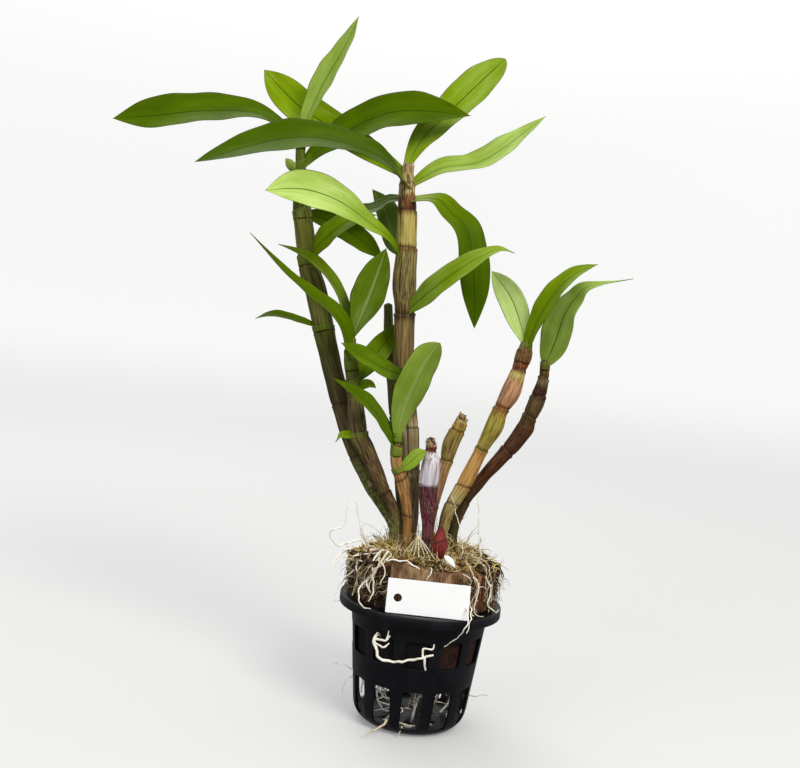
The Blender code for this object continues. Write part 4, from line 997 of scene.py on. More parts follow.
def growStrands(source, marks, name, material, values):  # source is left as it is
    base = placeObject(name + "_base", source.data.copy())
    mark = base.data.attributes.new("grow", "FLOAT", "POINT")
    mark.data.foreach_set("value", marks)
    return runTree(base, *strands, values, name, material)


strands = strandTree()


def wallRadius(z):
    return pot["footRadius"] + (pot["topRadius"] - pot["footRadius"]) * z / pot["height"]


def plasticSkin():
    material, tree = newMaterial("black_plastic_skin", Roughness=0.28, Specular_IOR_Level=0.28)
    place = objectPlace(tree)
    dustAndSheen = addNoise(tree, place, (90, 90, 60), detail=6, rough=0.65)
    scuff = addNoise(tree, place, (700, 700, 90), detail=2)
    # the lighter bluish patches are partly dust and partly painted sheen
    base = addMix(tree, addRange(tree, dustAndSheen, 0.5, 0.8, 0.0, 0.30), colour(*pot["plastic"]), colour(*pot["dustAndSheen"]))
    rough = plus(tree, addRange(tree, dustAndSheen, 0.3, 0.7, 0.26, 0.46), addRange(tree, scuff, 0.55, 0.75, 0.0, 0.2))
    grain = addNoise(tree, place, 1800.0, 2.0)
    height = plus(tree, times(tree, grain, 0.2), dustAndSheen)
    wire(tree, Base_Color=base, Normal=addBump(tree, height, 0.12, 0.5), Roughness=rough)
    return material


def buildPot():
    top, rim, wall, bend = pot["height"], pot["rim"], pot["wall"], pot["round"]
    foot = pot["footRadius"] - bend + 1.2
    low = top - pot["skirt"]
    profile = [(rim - 0.6, top - 0.05), (rim - 0.15, top - 0.3), (rim, top - 0.8), (rim, low + 0.5),
               (rim - 0.15, low + 0.15), (rim - 0.5, low), (rim - 1.3, low), (rim - 1.6, low + 0.3),
               (rim - 1.6, top - wall - 0.6), (rim - 2.2, top - wall), (wallRadius(top) + 0.8, top - wall),
               (wallRadius(top - 3), top - wall - 1.2)]
    profile += [(wallRadius(z), z) for z in (62.5, 42.5, 31.5, bend)]
    arc = np.radians(np.linspace(8, 86, 10))
    profile += [(foot + bend * math.cos(a), bend * (1 - math.sin(a))) for a in arc]
    profile += [(foot, 0.0), (foot - 2.5, 0.0), (foot - 3.0, 0.5), (foot - 4.5, 0.5), (foot - 5.0, 0.0), (0.0, 0.0)]
    profile += [(0.0, wall), (foot, wall)]
    profile += [(foot + (bend - wall) * math.cos(a), bend - (bend - wall) * math.sin(a)) for a in arc[::-1]]
    profile += [(wallRadius(bend) - wall, bend), (wallRadius(top - 2) - wall, top - 2),
                (wallRadius(top) - wall + 0.5, top - 0.1), (rim - 3.0, top), (rim - 0.6, top - 0.05)]
    skin = plasticSkin()
    tree, names = slotTree()
    values = {"Slot count": pot["slotCount"], "Corner": pot["corner"] * mm, "Drain count": pot["drainCount"],
              "Drain radius": pot["drainRadius"] * mm, "Drain circle": pot["drainCircle"] * mm}
    for tier in ("upper", "lower"):
        bottom, ceiling, width = pot[tier]
        label = tier.capitalize()
        values.update({label + " width": width * mm, label + " height": (ceiling - bottom) * mm,
                       label + " middle": (bottom + ceiling) / 2 * mm,
                       label + " radius": (wallRadius(bottom) - 13) * mm})
    turned = placeObject("pot_turned", lathe("pot_turned", profile, pot["steps"]))
    piece = runTree(turned, tree, names, values, "pot_cut", skin)
    soft = piece.modifiers.new("soft edges", "BEVEL")
    soft.width, soft.segments = pot["softEdge"] * mm, 2
    soft.limit_method, soft.angle_limit = "ANGLE", math.radians(40)
    keepPiece(plainMesh(piece, "fine_net_pot", skin), "black_plastic", "net_pot")


buildPot()
print("pot is ready")


husk = {"bottom": 37.0, "top": 100.0, "neck": 38.0, "steps": 64, "voxel": 0.9, "chunks": 21,
        "chunkHeight": (20, 27), "chunkRadius": (37.5, 40.5), "chunkSize": (8, 12), "chunkTilt": 7, "chunkTurn": 20,
        "slab": ((32.0, 41.4), (78.0, 105.5), (-30.0, 46.0), 48, 3.5),  # radii, heights, angles, cuts, drop
        "flakes": [((38.0, 42.6), (77.8, 102.5), (43.0, 54.0), 20, 2.0),
                   ((38.5, 43.2), (77.8, 99.5), (55.5, 64.0), 16, -2.0),
                   ((38.5, 42.4), (77.8, 101.0), (-62.0, -54.0), 16, 2.0),
                   ((38.5, 42.8), (77.8, 98.0), (-88.0, -79.0), 16, -2.0)]}
huskRelief = {"grooves": (0.9, 0.07), "lumps": 0.22, "buried": (-0.25, 0.2, 0.5), "open": (0.55, 1.0)}
plateForm = {"bumps": (9.0, 2.0, 2.0), "dent": 1.2, "ridge": 0.5, "sway": 0.004, "ragged": 0.8, "tear": (3.0, 1.6),
             "grain": ((0.9, 46.0, 1.5, 3.0), (0.5, 120.0, 3.0, 9.0))}  # depth, rates across and up, layer of noise
moss = {"radius": 31.0, "heights": ([0, 9, 18, 26, 31.0], [6.5, 6.5, 5.8, 4.3, 1.0]), "rings": 40, "steps": 120,
        "gap": 0.3, "lumps": ((1.6, 0.12), (0.5, 0.5)), "ease": 4}
fibreLooks = {  # deep, middle and pale shades
    "dark_husk": ((14, 9, 6), (50, 32, 21), (100, 74, 50)),
    "brown_husk": ((60, 40, 26), (132, 98, 68), (196, 164, 120)),
    "red_husk": ((64, 36, 24), (138, 92, 62), (202, 160, 116)),
    "sphagnum_moss": ((26, 18, 10), (84, 68, 34), (150, 134, 62)),
}
# painted shade inside the pot: heights in metres below which it fades in, the husk's own red painted darker, and the
# near-black shade itself
paintedShadeInPot = {"heights": (0.074, 0.079), "red": ((22, 6, 4), (84, 40, 30)), "dark": (4, 3, 3)}
strandLooks = {  # share and shade from a dark strand to a pale one, and roughness
    "moss_strand": ([(0.0, (58, 40, 22)), (0.2, (122, 96, 50)), (0.42, (188, 164, 62)), (0.65, (214, 192, 116)),
                     (1.0, (242, 232, 204))], 0.7),
    "husk_fibre": ([(0.0, (24, 15, 10)), (0.4, (68, 46, 30)), (0.75, (124, 96, 64)), (1.0, (190, 168, 124))], 0.85),
    "bark_chip": ([(0.0, (40, 24, 15)), (0.4, (92, 58, 38)), (0.8, (150, 108, 72)), (1.0, (196, 160, 116))], 0.85),
}


def fibreSkin(name, buried=False):
    material, tree = newMaterial(name + "_skin", Roughness=0.85, Specular_IOR_Level=0.25)
    deep, middle, pale = (colour(*shade) for shade in fibreLooks[name])
    place = objectPlace(tree)
    fibres = addNoise(tree, place, (1400, 1400, 70), detail=3, rough=0.6)
    clumps = addNoise(tree, place, (160, 160, 60), detail=4)
    base = addMix(tree, addRange(tree, fibres, 0.38, 0.62), deep, middle)
    base = addMix(tree, addRange(tree, clumps, 0.5, 0.72, 0.0, 0.7), base, pale)
    base = addMix(tree, addRange(tree, clumps, 0.30, 0.45, 0.75, 0.0), base, deep)
    if buried:                                                  # painted shade inside the pot under the rim: near black, and towards +X the husk's own red, painted darker
        split = addNode(tree, "ShaderNodeSeparateXYZ", {0: place}).outputs
        under = addRange(tree, split[2], *paintedShadeInPot["heights"], 1.0, 0.0)
        red = addMix(tree, addRange(tree, fibres, 0.42, 0.6), *(colour(*shade) for shade in paintedShadeInPot["red"]))
        for shade, left, right in ((red, 0.0, 0.8), (colour(*paintedShadeInPot["dark"]), 0.92, 0.45)):
            side = addRange(tree, split[0], 0.0, 0.02, left, right)
            base = addMix(tree, times(tree, under, side), base, shade)
    wire(tree, Base_Color=base, Normal=addBump(tree, plus(tree, fibres, clumps), 0.8, 0.8))
    return material


def strandSkin(name):
    stops, rough = strandLooks[name]
    material, tree = newMaterial(name + "_skin", Roughness=rough, Specular_IOR_Level=0.3)
    spots = addNoise(tree, objectPlace(tree), 700.0, 3.0)
    share = plus(tree, readMark(tree, "tone"), addRange(tree, spots, 0.3, 0.7, -0.15, 0.15), True)
    wire(tree, Base_Color=addRamp(tree, share, stops), Normal=addBump(tree, spots, 0.2, 0.4))
    return material


def roughen(mesh, amounts):  # push each vertex along its normal; amounts(place in mm) gives the distance
    normals = [v.normal.copy() for v in mesh.vertices]
    for vertex, normal in zip(mesh.vertices, normals):
        vertex.co += normal * amounts(vertex.co / mm) * mm


def huskAmount(place):
    across, up = huskRelief["grooves"]
    grooves = noise.noise(Vector((place.x * across, place.y * across, place.z * up)))
    lumps = noise.noise(place * huskRelief["lumps"])
    if place.z < pot["height"]:
        sunk, groove, pit = huskRelief["buried"]
        return sunk + groove * grooves - pit * max(0.0, lumps)
    groove, lump = huskRelief["open"]
    return groove * grooves + lump * lumps


def buildHusk():
    def plugRadius(z):
        return wallRadius(z) - pot["wall"] - 0.4
    top, neck, bottom = husk["top"], husk["neck"], husk["bottom"]
    profile = [(0.0, top), (neck - 2, top), (neck, top - 2), (neck, pot["height"] + 2),
               (plugRadius(76), 76), (plugRadius(bottom + 2), bottom + 2), (plugRadius(bottom) - 3, bottom),
               (0.0, bottom)]
    mesh = bmesh.new()
    mesh.from_mesh(lathe("husk_core", profile, husk["steps"]))
    draw = random.Random(11)
    for i in range(husk["chunks"]):
        degrees = (i + draw.uniform(-0.25, 0.25)) * 360.0 / husk["chunks"]
        wrapped = (degrees + 180) % 360 - 180
        if husk["slab"][2][0] - 9 < wrapped < husk["slab"][2][1] + 9:  # the front block's place stays free
            continue
        height, reach = draw.uniform(*husk["chunkHeight"]), draw.uniform(*husk["chunkRadius"])
        x, y = around(reach, degrees)
        size = (draw.uniform(*husk["chunkSize"]), draw.uniform(*husk["chunkSize"]), height)
        tilt = [math.radians(base + draw.uniform(-most, most)) for base, most in
                ((0, husk["chunkTilt"]), (0, husk["chunkTilt"]), (degrees, husk["chunkTurn"]))]
        made = bmesh.ops.create_cube(mesh, size=1.0)["verts"]
        matrix = Matrix.Translation(Vector((x, y, pot["height"] + 2.2 + height / 2)) * mm)
        matrix = matrix @ Matrix.Rotation(tilt[2], 4, "Z") @ Matrix.Rotation(tilt[1], 4, "Y")
        matrix = matrix @ Matrix.Rotation(tilt[0], 4, "X") @ Matrix.Diagonal((*[s * mm for s in size], 1))
        bmesh.ops.transform(mesh, matrix=matrix, verts=made)
    core = placeObject("husk_core", takeMesh(mesh, "husk_core"))
    remesh = core.modifiers.new("one skin", "REMESH")
    remesh.mode, remesh.voxel_size = "VOXEL", husk["voxel"] * mm
    # the husk's skin paints shade inside the pot, under the rim
    piece = plainMesh(core, "fine_husk_plug", fibreSkin("dark_husk", buried=True))
    roughen(piece.data, huskAmount)
    keepPiece(piece, "dark_husk", "husk_plug")
    return piece


def slabAmount(u, w):
    return sum(depth * noise.noise(Vector((u * wide, w * high, layer))) for depth, wide, high, layer in
               plateForm["grain"])


def buildPlate(name, skin, radii, heights, angles, cuts, drop, *nodes):  # a split piece of husk that stands on edge
    mesh = bmesh.new()
    bmesh.ops.create_cube(mesh, size=1.0)
    bmesh.ops.subdivide_edges(mesh, edges=mesh.edges, cuts=cuts, use_grid_fill=True)
    (inner, outer), (low, high), (start, end) = radii, heights, angles
    form, (torn, split) = plateForm, plateForm["tear"]
    for vertex in mesh.verts:
        u, v, w = (c + 0.5 for c in vertex.co)
        bump = abs(noise.noise([part * rate for part, rate in zip((u, v, w), form["bumps"])]))
        ridge = slabAmount(u, w)
        radius = outer + (inner - outer) * v - (1 - v) * (form["dent"] * bump - form["ridge"] * ridge)
        x, y = around(radius, start + (end - start) * (u + form["sway"] * ridge * (1 - v)))
        fall = drop * u * max(0.0, w * 2 - 1)
        fall += max(0.0, w - form["ragged"]) * 5 * (bump * torn + split * abs(ridge))
        vertex.co = Vector((x, y, low + (high - low) * w - fall)) * mm
    bmesh.ops.recalc_face_normals(mesh, faces=mesh.faces)
    piece = linkPiece(name, takeMesh(mesh, name), skin)
    keepPiece(piece, "brown_husk", *nodes)
    return piece


def buildSlab():
    piece = buildPlate("fine_husk_slab", fibreSkin("brown_husk"), *husk["slab"], "husk_slab")
    red = fibreSkin("red_husk")
    flakes = [buildPlate("husk_flake_%d" % i, red, *rule) for i, rule in enumerate(husk["flakes"])]
    return piece, flakes


def buildMoss():
    rings, steps = moss["rings"], moss["steps"]
    floor = husk["top"] + moss["gap"]
    radius = np.linspace(0.02, 1.0, rings) * moss["radius"]
    profile = np.interp(radius, *moss["heights"])
    angle = np.arange(steps) / steps * turn
    points = np.stack([radius[:, None] * np.cos(angle), radius[:, None] * np.sin(angle),
                       np.repeat(profile[:, None], steps, axis=1)], axis=-1)
    for row in points:
        for point in row:
            ease = min(1.0, point[2] / moss["ease"])
            point[2] += floor
            place = Vector(point)
            point[2] += sum(depth * noise.noise(place * rate) for depth, rate in moss["lumps"]) * ease
    under = points[-1:].copy()
    under[..., 2] = floor
    shape = newShape()
    loops = np.concatenate([under, points[::-1]])
    ends = [(0, 0, floor), (0, 0, points[0, :, 2].mean() + 0.2)]
    addLoft(shape, loops, np.arange(steps + 1) / steps, np.linspace(0, 1, rings + 1), ends, {})
    piece = makeMesh("fine_moss_pad", shape, fibreSkin("sphagnum_moss"))
    keepPiece(piece, "sphagnum_moss", "moss_pad")
    return piece


cover = {  # strands grown from a surface: metres, and strands a square metre
    "moss_strands": {"Density": 5.0e5, "Length": 0.0065, "Thickness": 0.00038, "Lean": 1.6, "Upward": -0.3,
                     "Bend": 0.034, "Curl": 230.0, "Seed": 3},
    "moss_long_strands": {"Density": 1.4e5, "Length": 0.014, "Thickness": 0.00034, "Lean": 2.0, "Upward": -0.8,
                          "Bend": 0.050, "Curl": 130.0, "Seed": 13},
    "moss_edge_strands": {"Density": 2.8e5, "Length": 0.008, "Thickness": 0.00036, "Lean": 1.5, "Upward": -0.9,
                          "Bend": 0.036, "Curl": 190.0, "Seed": 4},
    "husk_fibres": {"Density": 1.5e5, "Length": 0.012, "Thickness": 0.00022, "Lean": 0.6, "Upward": -2.6,
                    "Bend": 0.018, "Curl": 180.0, "Seed": 6},
    "slab_fibres": {"Density": 1.3e5, "Length": 0.010, "Thickness": 0.00017, "Lean": 0.45, "Upward": -2.0,
                    "Bend": 0.005, "Curl": 170.0, "Seed": 7},
    "labelKeep": (-26.0, 32.0, 118.0), "front": -26.0,  # x from, x to, height under which the front grows no fibre
    "clump": 0.17, "bare": 0.02,                        # size of the moss clumps, and where none grows
    "padFace": 0.3, "slabFace": 0.6, "slabRadius": 38.5,  # a face's upward share, and millimetres from the middle
    "edgeFace": 0.5, "edgeRadius": 26, "edgeHeight": 12,  # height over the rim
    "sideFace": 0.6, "sideHeight": 1.5,
}
chips = {"count": 280, "reach": 39.0, "length": (2.0, 6.0), "width": (0.7, 1.9), "lowest": 10, "above": 130,
         "lift": (0.3, 1.6), "slope": (-0.3, 0.5), "flat": (0.25, 0.6), "twist": 0.6,
         "section": ((-0.5, 0.5), (-0.2, 1.0), (0.25, 0.8), (0.5, 0.35))}  # share of the length, and of the width


def surfaceTree(*pieces):
    corners, faces = [], []
    for piece in pieces:
        first = len(corners)
        corners += [vertex.co / mm for vertex in piece.data.vertices]
        faces += [[first + i for i in face.vertices] for face in piece.data.polygons]
    return BVHTree.FromPolygons(corners, faces)


def growCover(plug, slab, pad):
    straw, fibre = strandSkin("moss_strand"), strandSkin("husk_fibre")
    west, east, low = cover["labelKeep"]

    def hairy(place):
        return place.z > low or not west < place.x < east or place.y > cover["front"]

    def clumped(place):
        return noise.noise(place * cover["clump"]) > cover["bare"]

    def onPad(place, normal):
        return normal.z > cover["padFace"] and clumped(place)

    def onPadBehind(place, normal):
        return normal.z > cover["padFace"] and place.y > cover["front"]

    def onEdge(place, normal):
        return (place.z > pot["height"] + cover["edgeHeight"] and normal.z > cover["edgeFace"]
                and place.xy.length > cover["edgeRadius"] and hairy(place) and clumped(place))

    def onSide(place, normal):
        return place.z > pot["height"] + cover["sideHeight"] and abs(normal.z) < cover["sideFace"] and hairy(place)

    def onSlab(place, normal):
        return (place.xy.length > cover["slabRadius"] or normal.z > cover["slabFace"]) and hairy(place)
    rules = {
        "moss_strands": (pad, straw, "sphagnum_moss", onPad),
        "moss_long_strands": (pad, straw, "sphagnum_moss", onPadBehind),
        "moss_edge_strands": (plug, straw, "sphagnum_moss", onEdge),
        "husk_fibres": (plug, fibre, "dark_husk", onSide),
        "slab_fibres": (slab, fibre, "brown_husk", onSlab),
    }
    for name, (source, skin, slot, grows) in rules.items():
        marks = [1.0 if grows(vertex.co / mm, vertex.normal) else 0.0 for vertex in source.data.vertices]
        keepPiece(growStrands(source, marks, name, skin, cover[name]), slot)


def scatterChips(ground):  # crumbs of bark that lie on the moss
    draw = random.Random(17)
    shape = newShape()
    for _ in range(chips["count"]):
        x, y = around(chips["reach"] * math.sqrt(draw.uniform(0.05, 1.0)), draw.uniform(0, 360))
        spot, normal = ground.ray_cast(Vector((x, y, chips["above"])), Vector((0, 0, -1)))[:2]
        long, wide, way = draw.uniform(*chips["length"]), draw.uniform(*chips["width"]), draw.uniform(0, turn)
        if spot is None or spot.z < pot["height"] + chips["lowest"]:
            continue
        ahead = Vector((math.cos(way), math.sin(way), draw.uniform(*chips["slope"])))
        middle = spot + normal * draw.uniform(*chips["lift"])
        route = [(*(middle + ahead * long * step), wide * size) for step, size in chips["section"]]
        addTube(shape, route, 6, long / 4, tone=draw.random(), flat=draw.uniform(*chips["flat"]),
                twist=draw.uniform(-chips["twist"], chips["twist"]))
    keepPiece(makeMesh("bark_chips", shape, strandSkin("bark_chip")), "brown_husk")


huskPiece, mossPiece = buildHusk(), buildMoss()
slabPiece, flakePieces = buildSlab()
growCover(huskPiece, slabPiece, mossPiece)
ballSurface = surfaceTree(huskPiece, slabPiece, mossPiece, *flakePieces)
scatterChips(ballSurface)
print("husk and moss are ready")


rootShades = [(0.0, (70, 52, 32)), (0.3, (146, 126, 90)), (0.6, (208, 196, 166)), (1.0, (250, 248, 240))]
rootRules = {  # first and last direction in degrees, count, crown, seed, thinnest and thickest
    "roots_left": (200.0, 237.0, 7, (-27, -12, 105), 3, (0.45, 0.9)),
    "roots_right": (318.0, 338.0, 4, (22, -9, 105), 4, (0.3, 0.5)),
}
drape = {"steps": ((36, 107.5), (42.5, 103), (45, 97), (45.5, 91), (46.5, 85), (48, 79.8)),  # radius and height
         "sway": 0.09, "proud": (-0.6, 0.8), "uneven": 1.5, "missing": (0, 0, 1, 2)}
lowerRoots = {"count": 5, "seed": 5, "radius": (17, 24), "thickness": (0.7, 1.1),
              "steps": ((0, 40), (0.5, 35), (1, 27), (1.15, 16), (0.9, 6))}  # share of the radius, and height
drawnRoots = {
    "roots_air_left": [
        ([(-33, 4, 99), (-37, 2, 108), (-41, 0, 115), (-46, -2, 132)], 0.65),
        ([(-33, 4, 99), (-42, 2, 108), (-54, -2, 104), (-60, -5, 113), (-52, -5, 118), (-51, -4, 134)], 0.6),
        ([(-33, 4, 99), (-44, 3, 103), (-54, -4, 97), (-55, -15, 91)], 0.65)],
    "roots_air_right": [
        ([(31, 3, 99), (34, 1, 107), (32, 0, 118), (29, 2, 144)], 0.6),
        ([(31, 3, 99), (40, 2, 105), (48, -3, 98), (50, -11, 90)], 0.6)],
    "root_pot_front": [
        ([(-22, -31, 60), (-25, -37, 62), (-25.6, -40.6, 59), (-24, -42, 53.5), (-22.4, -43, 50.6),
          (-19.5, -43.8, 49.3), (-14, -45, 49.3), (-6, -46, 51), (2, -46, 53.5), (9, -44.5, 55.5)], 1.0),
        ([(-25, -40, 60), (-20, -41, 60), (-17, -41, 63)], 0.7),
        ([(-25, -41.5, 58), (-20, -42.5, 56.5), (-17, -42.5, 59)], 0.6),
        ([(-19, -41, 60.5), (-18, -41, 66)], 0.5),
        ([(4, -46, 54), (4.5, -45.5, 50), (5.5, -44, 46)], 0.75),
        ([(3, -46, 54), (3, -44, 58), (8, -43, 58.5), (9, -42, 61)], 0.65)],
}
looseRoots = [  # thin roots that no solid stands for
    ([(-10, -26, 11), (-13, -31, 9), (-18, -37, 6.5), (-25, -43, 4.5)], 0.9),
    ([(-7, -26, 34), (-9, -27, 24), (-12, -27, 14), (-11, -27.5, 8), (-2, -28, 6.5)], 0.7),
    ([(-12, -27, 9), (-5, -28.5, 7.5), (4, -28, 6.5)], 0.8),
    ([(5, -26, 26), (3, -27, 18), (2, -27, 11)], 0.6),
    ([(-31, -18, 30), (-27, -22, 20), (-26, -22, 11)], 0.55),
    ([(-4, -29.5, 6), (-5, -32.5, 3.5), (-6, -34, 2.2)], 0.5),
    ([(24, -36, 88), (25.5, -45, 84), (26, -51.5, 78), (24, -51, 73), (21, -46, 67), (15, -41, 60)], 0.5),
    ([(27, -34, 87), (28, -44, 83), (27.5, -50.5, 78), (26, -51, 72)], 0.45),
    ([(-30, -5, 32), (-36, -6, 26), (-41, -8, 22), (-42, -8, 10)], 0.4),
    ([(-36, -8, 76), (-46, -10, 73), (-53, -12, 72)], 0.3),
    ([(-36, -10, 30), (-42, -11, 33), (-49, -12, 34)], 0.25),
    ([(32, -9, 21), (39, -11, 23), (47, -12, 24)], 0.35),
    ([(-30, -12, 100), (-44, -18, 92), (-50, -15, 84), (-53, -18, 74)], 0.5),
    ([(-22, -24, 100), (-34, -30, 92), (-38, -35, 85), (-35, -43, 79), (-30, -46, 79)], 0.6),
    ([(20, -14, 104), (22, -10, 113), (17, -6, 129), (12, -6, 143)], 0.35),
    ([(28, -34, 101), (32, -36, 95), (30, -39, 88), (31, -41, 81), (36, -37, 79)], 0.55),
    ([(36, -26, 100), (40, -24, 92), (39, -27, 84), (44, -25, 79), (47, -18, 79)], 0.6),
    ([(24, -37, 96), (23, -42, 90), (25, -43, 84), (30, -42, 80)], 0.5),
    ([(-24, -28, 104), (-22, -36, 106), (-12, -40, 107), (-4, -42, 104)], 0.6),
    ([(-27, -24, 103), (-28, -34, 105), (-24, -39, 100), (-26, -41, 92)], 0.6),
    ([(2, -37, 104), (3, -41.6, 104.5), (1.5, -42.6, 101), (0.5, -42.2, 98)], 0.45),
]
crownRoots = {"top": (-6, -14, 118), "feet": (-14, 5), "reach": -24, "ground": 107, "count": 7, "radius": 0.32}
paleTip = [(10, -29, 110.5, 0.4), (11.5, -30, 109.5, 1.7), (13.5, -31, 108, 2.1), (15.5, -32, 106.3, 1.2),
           (17, -33, 105, 0.3)]
wandering = {"left": 62, "around": 50, "leftAngles": (-122, -27), "aroundAngles": (28, 250), "radius": (0.15, 0.45),
             "top": (84, 107), "fall": (7, 24), "lowest": 77.6, "proud": (0.1, 2.2), "step": 2.2,
             "stride": (-0.2, 1.4), "drift": 7, "turn": 4, "slabSide": 30, "pallor": 2.2}
inside = {"count": 56, "radius": (8, 30), "top": (20, 38), "end": (2.6, 18), "widest": 30.5, "footWidest": 24.5,
          "footTop": 12, "turn": 16, "stride": (0.5, 5), "thickness": (0.25, 0.6)}


def rootSkin():
    material, tree = newMaterial("pale_root_skin", Roughness=0.75, Specular_IOR_Level=0.3)
    spots = addNoise(tree, readMark(tree, "flow", "Vector"), (0.8, 0.8, 0.35), detail=5, rough=0.65)
    share = plus(tree, readMark(tree, "tone"), addRange(tree, spots, 0.3, 0.7, -0.25, 0.25), True)
    wire(tree, Base_Color=addRamp(tree, share, rootShades), Normal=addBump(tree, spots, 0.3, 0.6))
    return material


def knobbly(draw, amount=0.12):
    waves = [(draw.randint(1, 3), draw.uniform(0.4, 1.6), draw.uniform(0, turn)) for _ in range(4)]

    def relief(angle, distance, length):
        return amount * sum(np.sin(count * angle + rate * distance + phase) for count, rate, phase in waves) / 2
    return relief


def taperedPath(route, radius, end=0.55, draw=None, kink=0.0):
    path = smoothPath(route, 8)
    if kink:
        along = distances(path)
        ease = np.minimum(1.0, np.minimum(along, along[-1] - along) / 4)
        for axis in range(3):
            for _ in range(2):
                path[:, axis] += kink * ease * np.sin(along / draw.uniform(0.9, 2.4) + draw.uniform(0, turn)) / 2
    return np.column_stack([path, radius * np.linspace(1.0, end, len(path))])


def drapedRoutes(first, last, count, crown, seed, sizes):
    draw = random.Random(seed)
    routes = []
    for i in range(count):
        degrees = first + (last - first) * (i + draw.uniform(-0.25, 0.25)) / (count - 1)
        route = [crown]
        angle = math.radians(degrees)
        for radius, height in drape["steps"]:
            angle += draw.uniform(-drape["sway"], drape["sway"])
            radius += draw.uniform(*drape["proud"])
            height += draw.uniform(-drape["uneven"], drape["uneven"])
            route.append((radius * math.cos(angle), radius * math.sin(angle), height))
        routes.append((route[:len(route) - draw.choice(drape["missing"])], draw.uniform(*sizes)))
    return routes


def lowerRoutes():
    draw = random.Random(lowerRoots["seed"])
    routes = []
    for i in range(lowerRoots["count"]):
        degrees = (i + draw.uniform(-0.3, 0.3)) * (360 / lowerRoots["count"])
        x, y = around(draw.uniform(*lowerRoots["radius"]), degrees)
        routes.append(([(x * share, y * share, height) for share, height in lowerRoots["steps"]],
                       draw.uniform(*lowerRoots["thickness"])))
    return routes


def wanderDown(draw, ground, degrees):  # a thin root that runs down over the ball's side
    drift, height = draw.uniform(-wandering["drift"], wandering["drift"]), draw.uniform(*wandering["top"])
    route, stop = [], height - draw.uniform(*wandering["fall"])
    while height > max(stop, wandering["lowest"]):
        x, y = around(70, degrees)
        spot = ground.ray_cast(Vector((x, y, height)), Vector((-x, -y, 0)).normalized())[0]
        if spot is None:
            break
        route.append(spot + Vector((x, y, 0)).normalized() * draw.uniform(*wandering["proud"]))
        height -= wandering["step"] * draw.uniform(*wandering["stride"])
        drift = 0.8 * drift + draw.uniform(-wandering["turn"], wandering["turn"])
        if abs(degrees + drift) < wandering["slabSide"]:
            drift = -abs(drift) if degrees < 0 else abs(drift)
        degrees += drift
    return route


def wanderInside(draw):  # a thin root that shows through the lower slots
    degrees, radius, height = draw.uniform(0, 360), draw.uniform(*inside["radius"]), draw.uniform(*inside["top"])
    route, stop = [], draw.uniform(*inside["end"])
    while height > stop:
        x, y = around(radius, degrees)
        route.append((x, y, height))
        radius = min(inside["widest"], max(4, radius + draw.uniform(-3, 3.5)))
        if height < inside["footTop"]:
            radius = min(radius, inside["footWidest"])
        degrees += draw.uniform(-inside["turn"], inside["turn"])
        height -= draw.uniform(*inside["stride"])
    return route


def buildThinRoots(ground, skin):
    draw = random.Random(29)
    shape = newShape()
    for route, radius in looseRoots:
        addTube(shape, taperedPath(route, radius, 0.5, draw, 0.5), 8, 0.7, knobbly(draw, 0.06),
                tone=draw.uniform(0.45, 0.95))
    for x in np.linspace(*crownRoots["feet"], crownRoots["count"]):
        end = (x + draw.uniform(-0.6, 0.6), crownRoots["reach"] + draw.uniform(-2, 2), crownRoots["ground"])
        addTube(shape, taperedPath([crownRoots["top"], end], crownRoots["radius"], 0.7, draw, 0.15), 6, 1.0,
                tone=draw.uniform(0.55, 0.9))
    addTube(shape, smoothPath(paleTip, 6), 12, 0.6, tone=1.0, flat=0.6)
    keepPiece(makeMesh("thin_roots", shape, skin), "pale_root")
    shape = newShape()
    for i in range(wandering["left"] + wandering["around"]):
        angles = wandering["leftAngles" if i < wandering["left"] else "aroundAngles"]
        route = wanderDown(draw, ground, draw.uniform(*angles))
        if len(route) > 3:
            addTube(shape, taperedPath(route, draw.uniform(*wandering["radius"])), 5, 1.0,
                    tone=draw.random() ** wandering["pallor"])
    keepPiece(makeMesh("surface_roots", shape, skin), "pale_root")
    shape = newShape()
    for _ in range(inside["count"]):
        route = wanderInside(draw)
        if len(route) > 3:
            addTube(shape, taperedPath(route, draw.uniform(*inside["thickness"])), 6, 1.2,
                    tone=draw.uniform(0.0, 0.9))
    keepPiece(makeMesh("inner_roots", shape, skin), "pale_root")


def buildRoots():
    skin = rootSkin()
    bunches = {name: drapedRoutes(*rule) for name, rule in rootRules.items()}
    bunches.update(drawnRoots)
    bunches["roots_lower"] = lowerRoutes()
    draw = random.Random(8)
    for name, routes in bunches.items():
        shape = newShape()
        for route, radius in routes:
            tone = draw.uniform(0.3, 0.9)
            if name not in rootRules:
                tone = 0.82 + tone / 6
            addTube(shape, taperedPath(route, radius, 0.6, draw, 0.45), 10, 0.6, knobbly(draw), tone=tone)
        keepPiece(makeMesh("fine_" + name, shape, skin), "pale_root", name)
    return skin


buildThinRoots(ballSurface, buildRoots())
print("roots are ready")


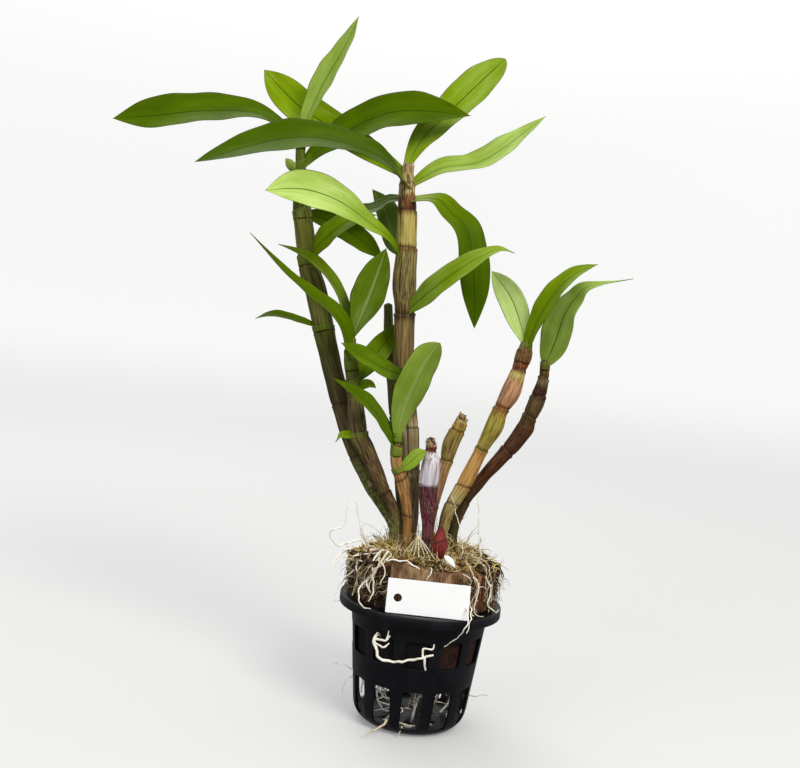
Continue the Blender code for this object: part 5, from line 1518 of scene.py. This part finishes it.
labelPlate = {"size": (48.0, 0.8, 20.0), "hole": 2.4, "holePlace": (-17.5, -1.0), "holeSteps": 48, "corner": 0.5,
              "edge": 0.12, "lean": 4.0, "foot": (2.5, -43.4, 0.3),  # foot: x, y and height over the rim
              "white": (246, 247, 248), "smear": (226, 226, 222)}


def buildLabel():
    width, thick, height = labelPlate["size"]
    corner, edge, (holeX, holeZ) = labelPlate["corner"], labelPlate["edge"], labelPlate["holePlace"]
    curve = bpy.data.curves.new("label", "CURVE")
    curve.dimensions, curve.fill_mode = "2D", "BOTH"
    curve.extrude, curve.bevel_depth, curve.bevel_resolution = (thick / 2 - edge) * mm, edge * mm, 2
    outline = curve.splines.new("POLY")
    corners = []
    for sx, sy, start in ((1, 1, 0), (-1, 1, 90), (-1, -1, 180), (1, -1, 270)):
        for step in range(5):
            a = math.radians(start + step * 22.5)
            corners.append((sx * (width / 2 - corner - edge) + corner * math.cos(a),
                            sy * (height / 2 - corner - edge) + corner * math.sin(a)))
    reach = labelPlate["hole"] + edge
    hole = [(holeX + reach * math.cos(a), holeZ + reach * math.sin(a))
            for a in np.linspace(0, turn, labelPlate["holeSteps"], endpoint=False)]
    for spline, places in ((outline, corners), (curve.splines.new("POLY"), hole)):
        spline.points.add(len(places) - 1)
        for point, (x, z) in zip(spline.points, places):
            point.co = (x * mm, z * mm, 0, 1)
        spline.use_cyclic_u = True
    source = placeObject("label_outline", curve)
    material, tree = newMaterial("white_label_skin", Roughness=0.38, Specular_IOR_Level=0.4)
    place = objectPlace(tree)
    smear = addRange(tree, addNoise(tree, place, 60.0, 4.0), 0.5, 0.8, 0.0, 0.5)
    wire(tree, Base_Color=addMix(tree, smear, colour(*labelPlate["white"]), colour(*labelPlate["smear"])),
         Normal=addBump(tree, addNoise(tree, place, 900.0), 0.05, 0.3))
    piece = plainMesh(source, "fine_plant_label", material)
    lean = math.radians(labelPlate["lean"])
    x, y, z = labelPlate["foot"]
    middle = Vector((x, y + height / 2 * math.sin(lean), pot["height"] + z + height / 2 * math.cos(lean)))
    piece.data.transform(Matrix.Translation(middle * mm) @ Matrix.Rotation(math.pi / 2 - lean, 4, "X"))
    keepPiece(piece, "white_label", "plant_label")


buildLabel()
print("label is ready")
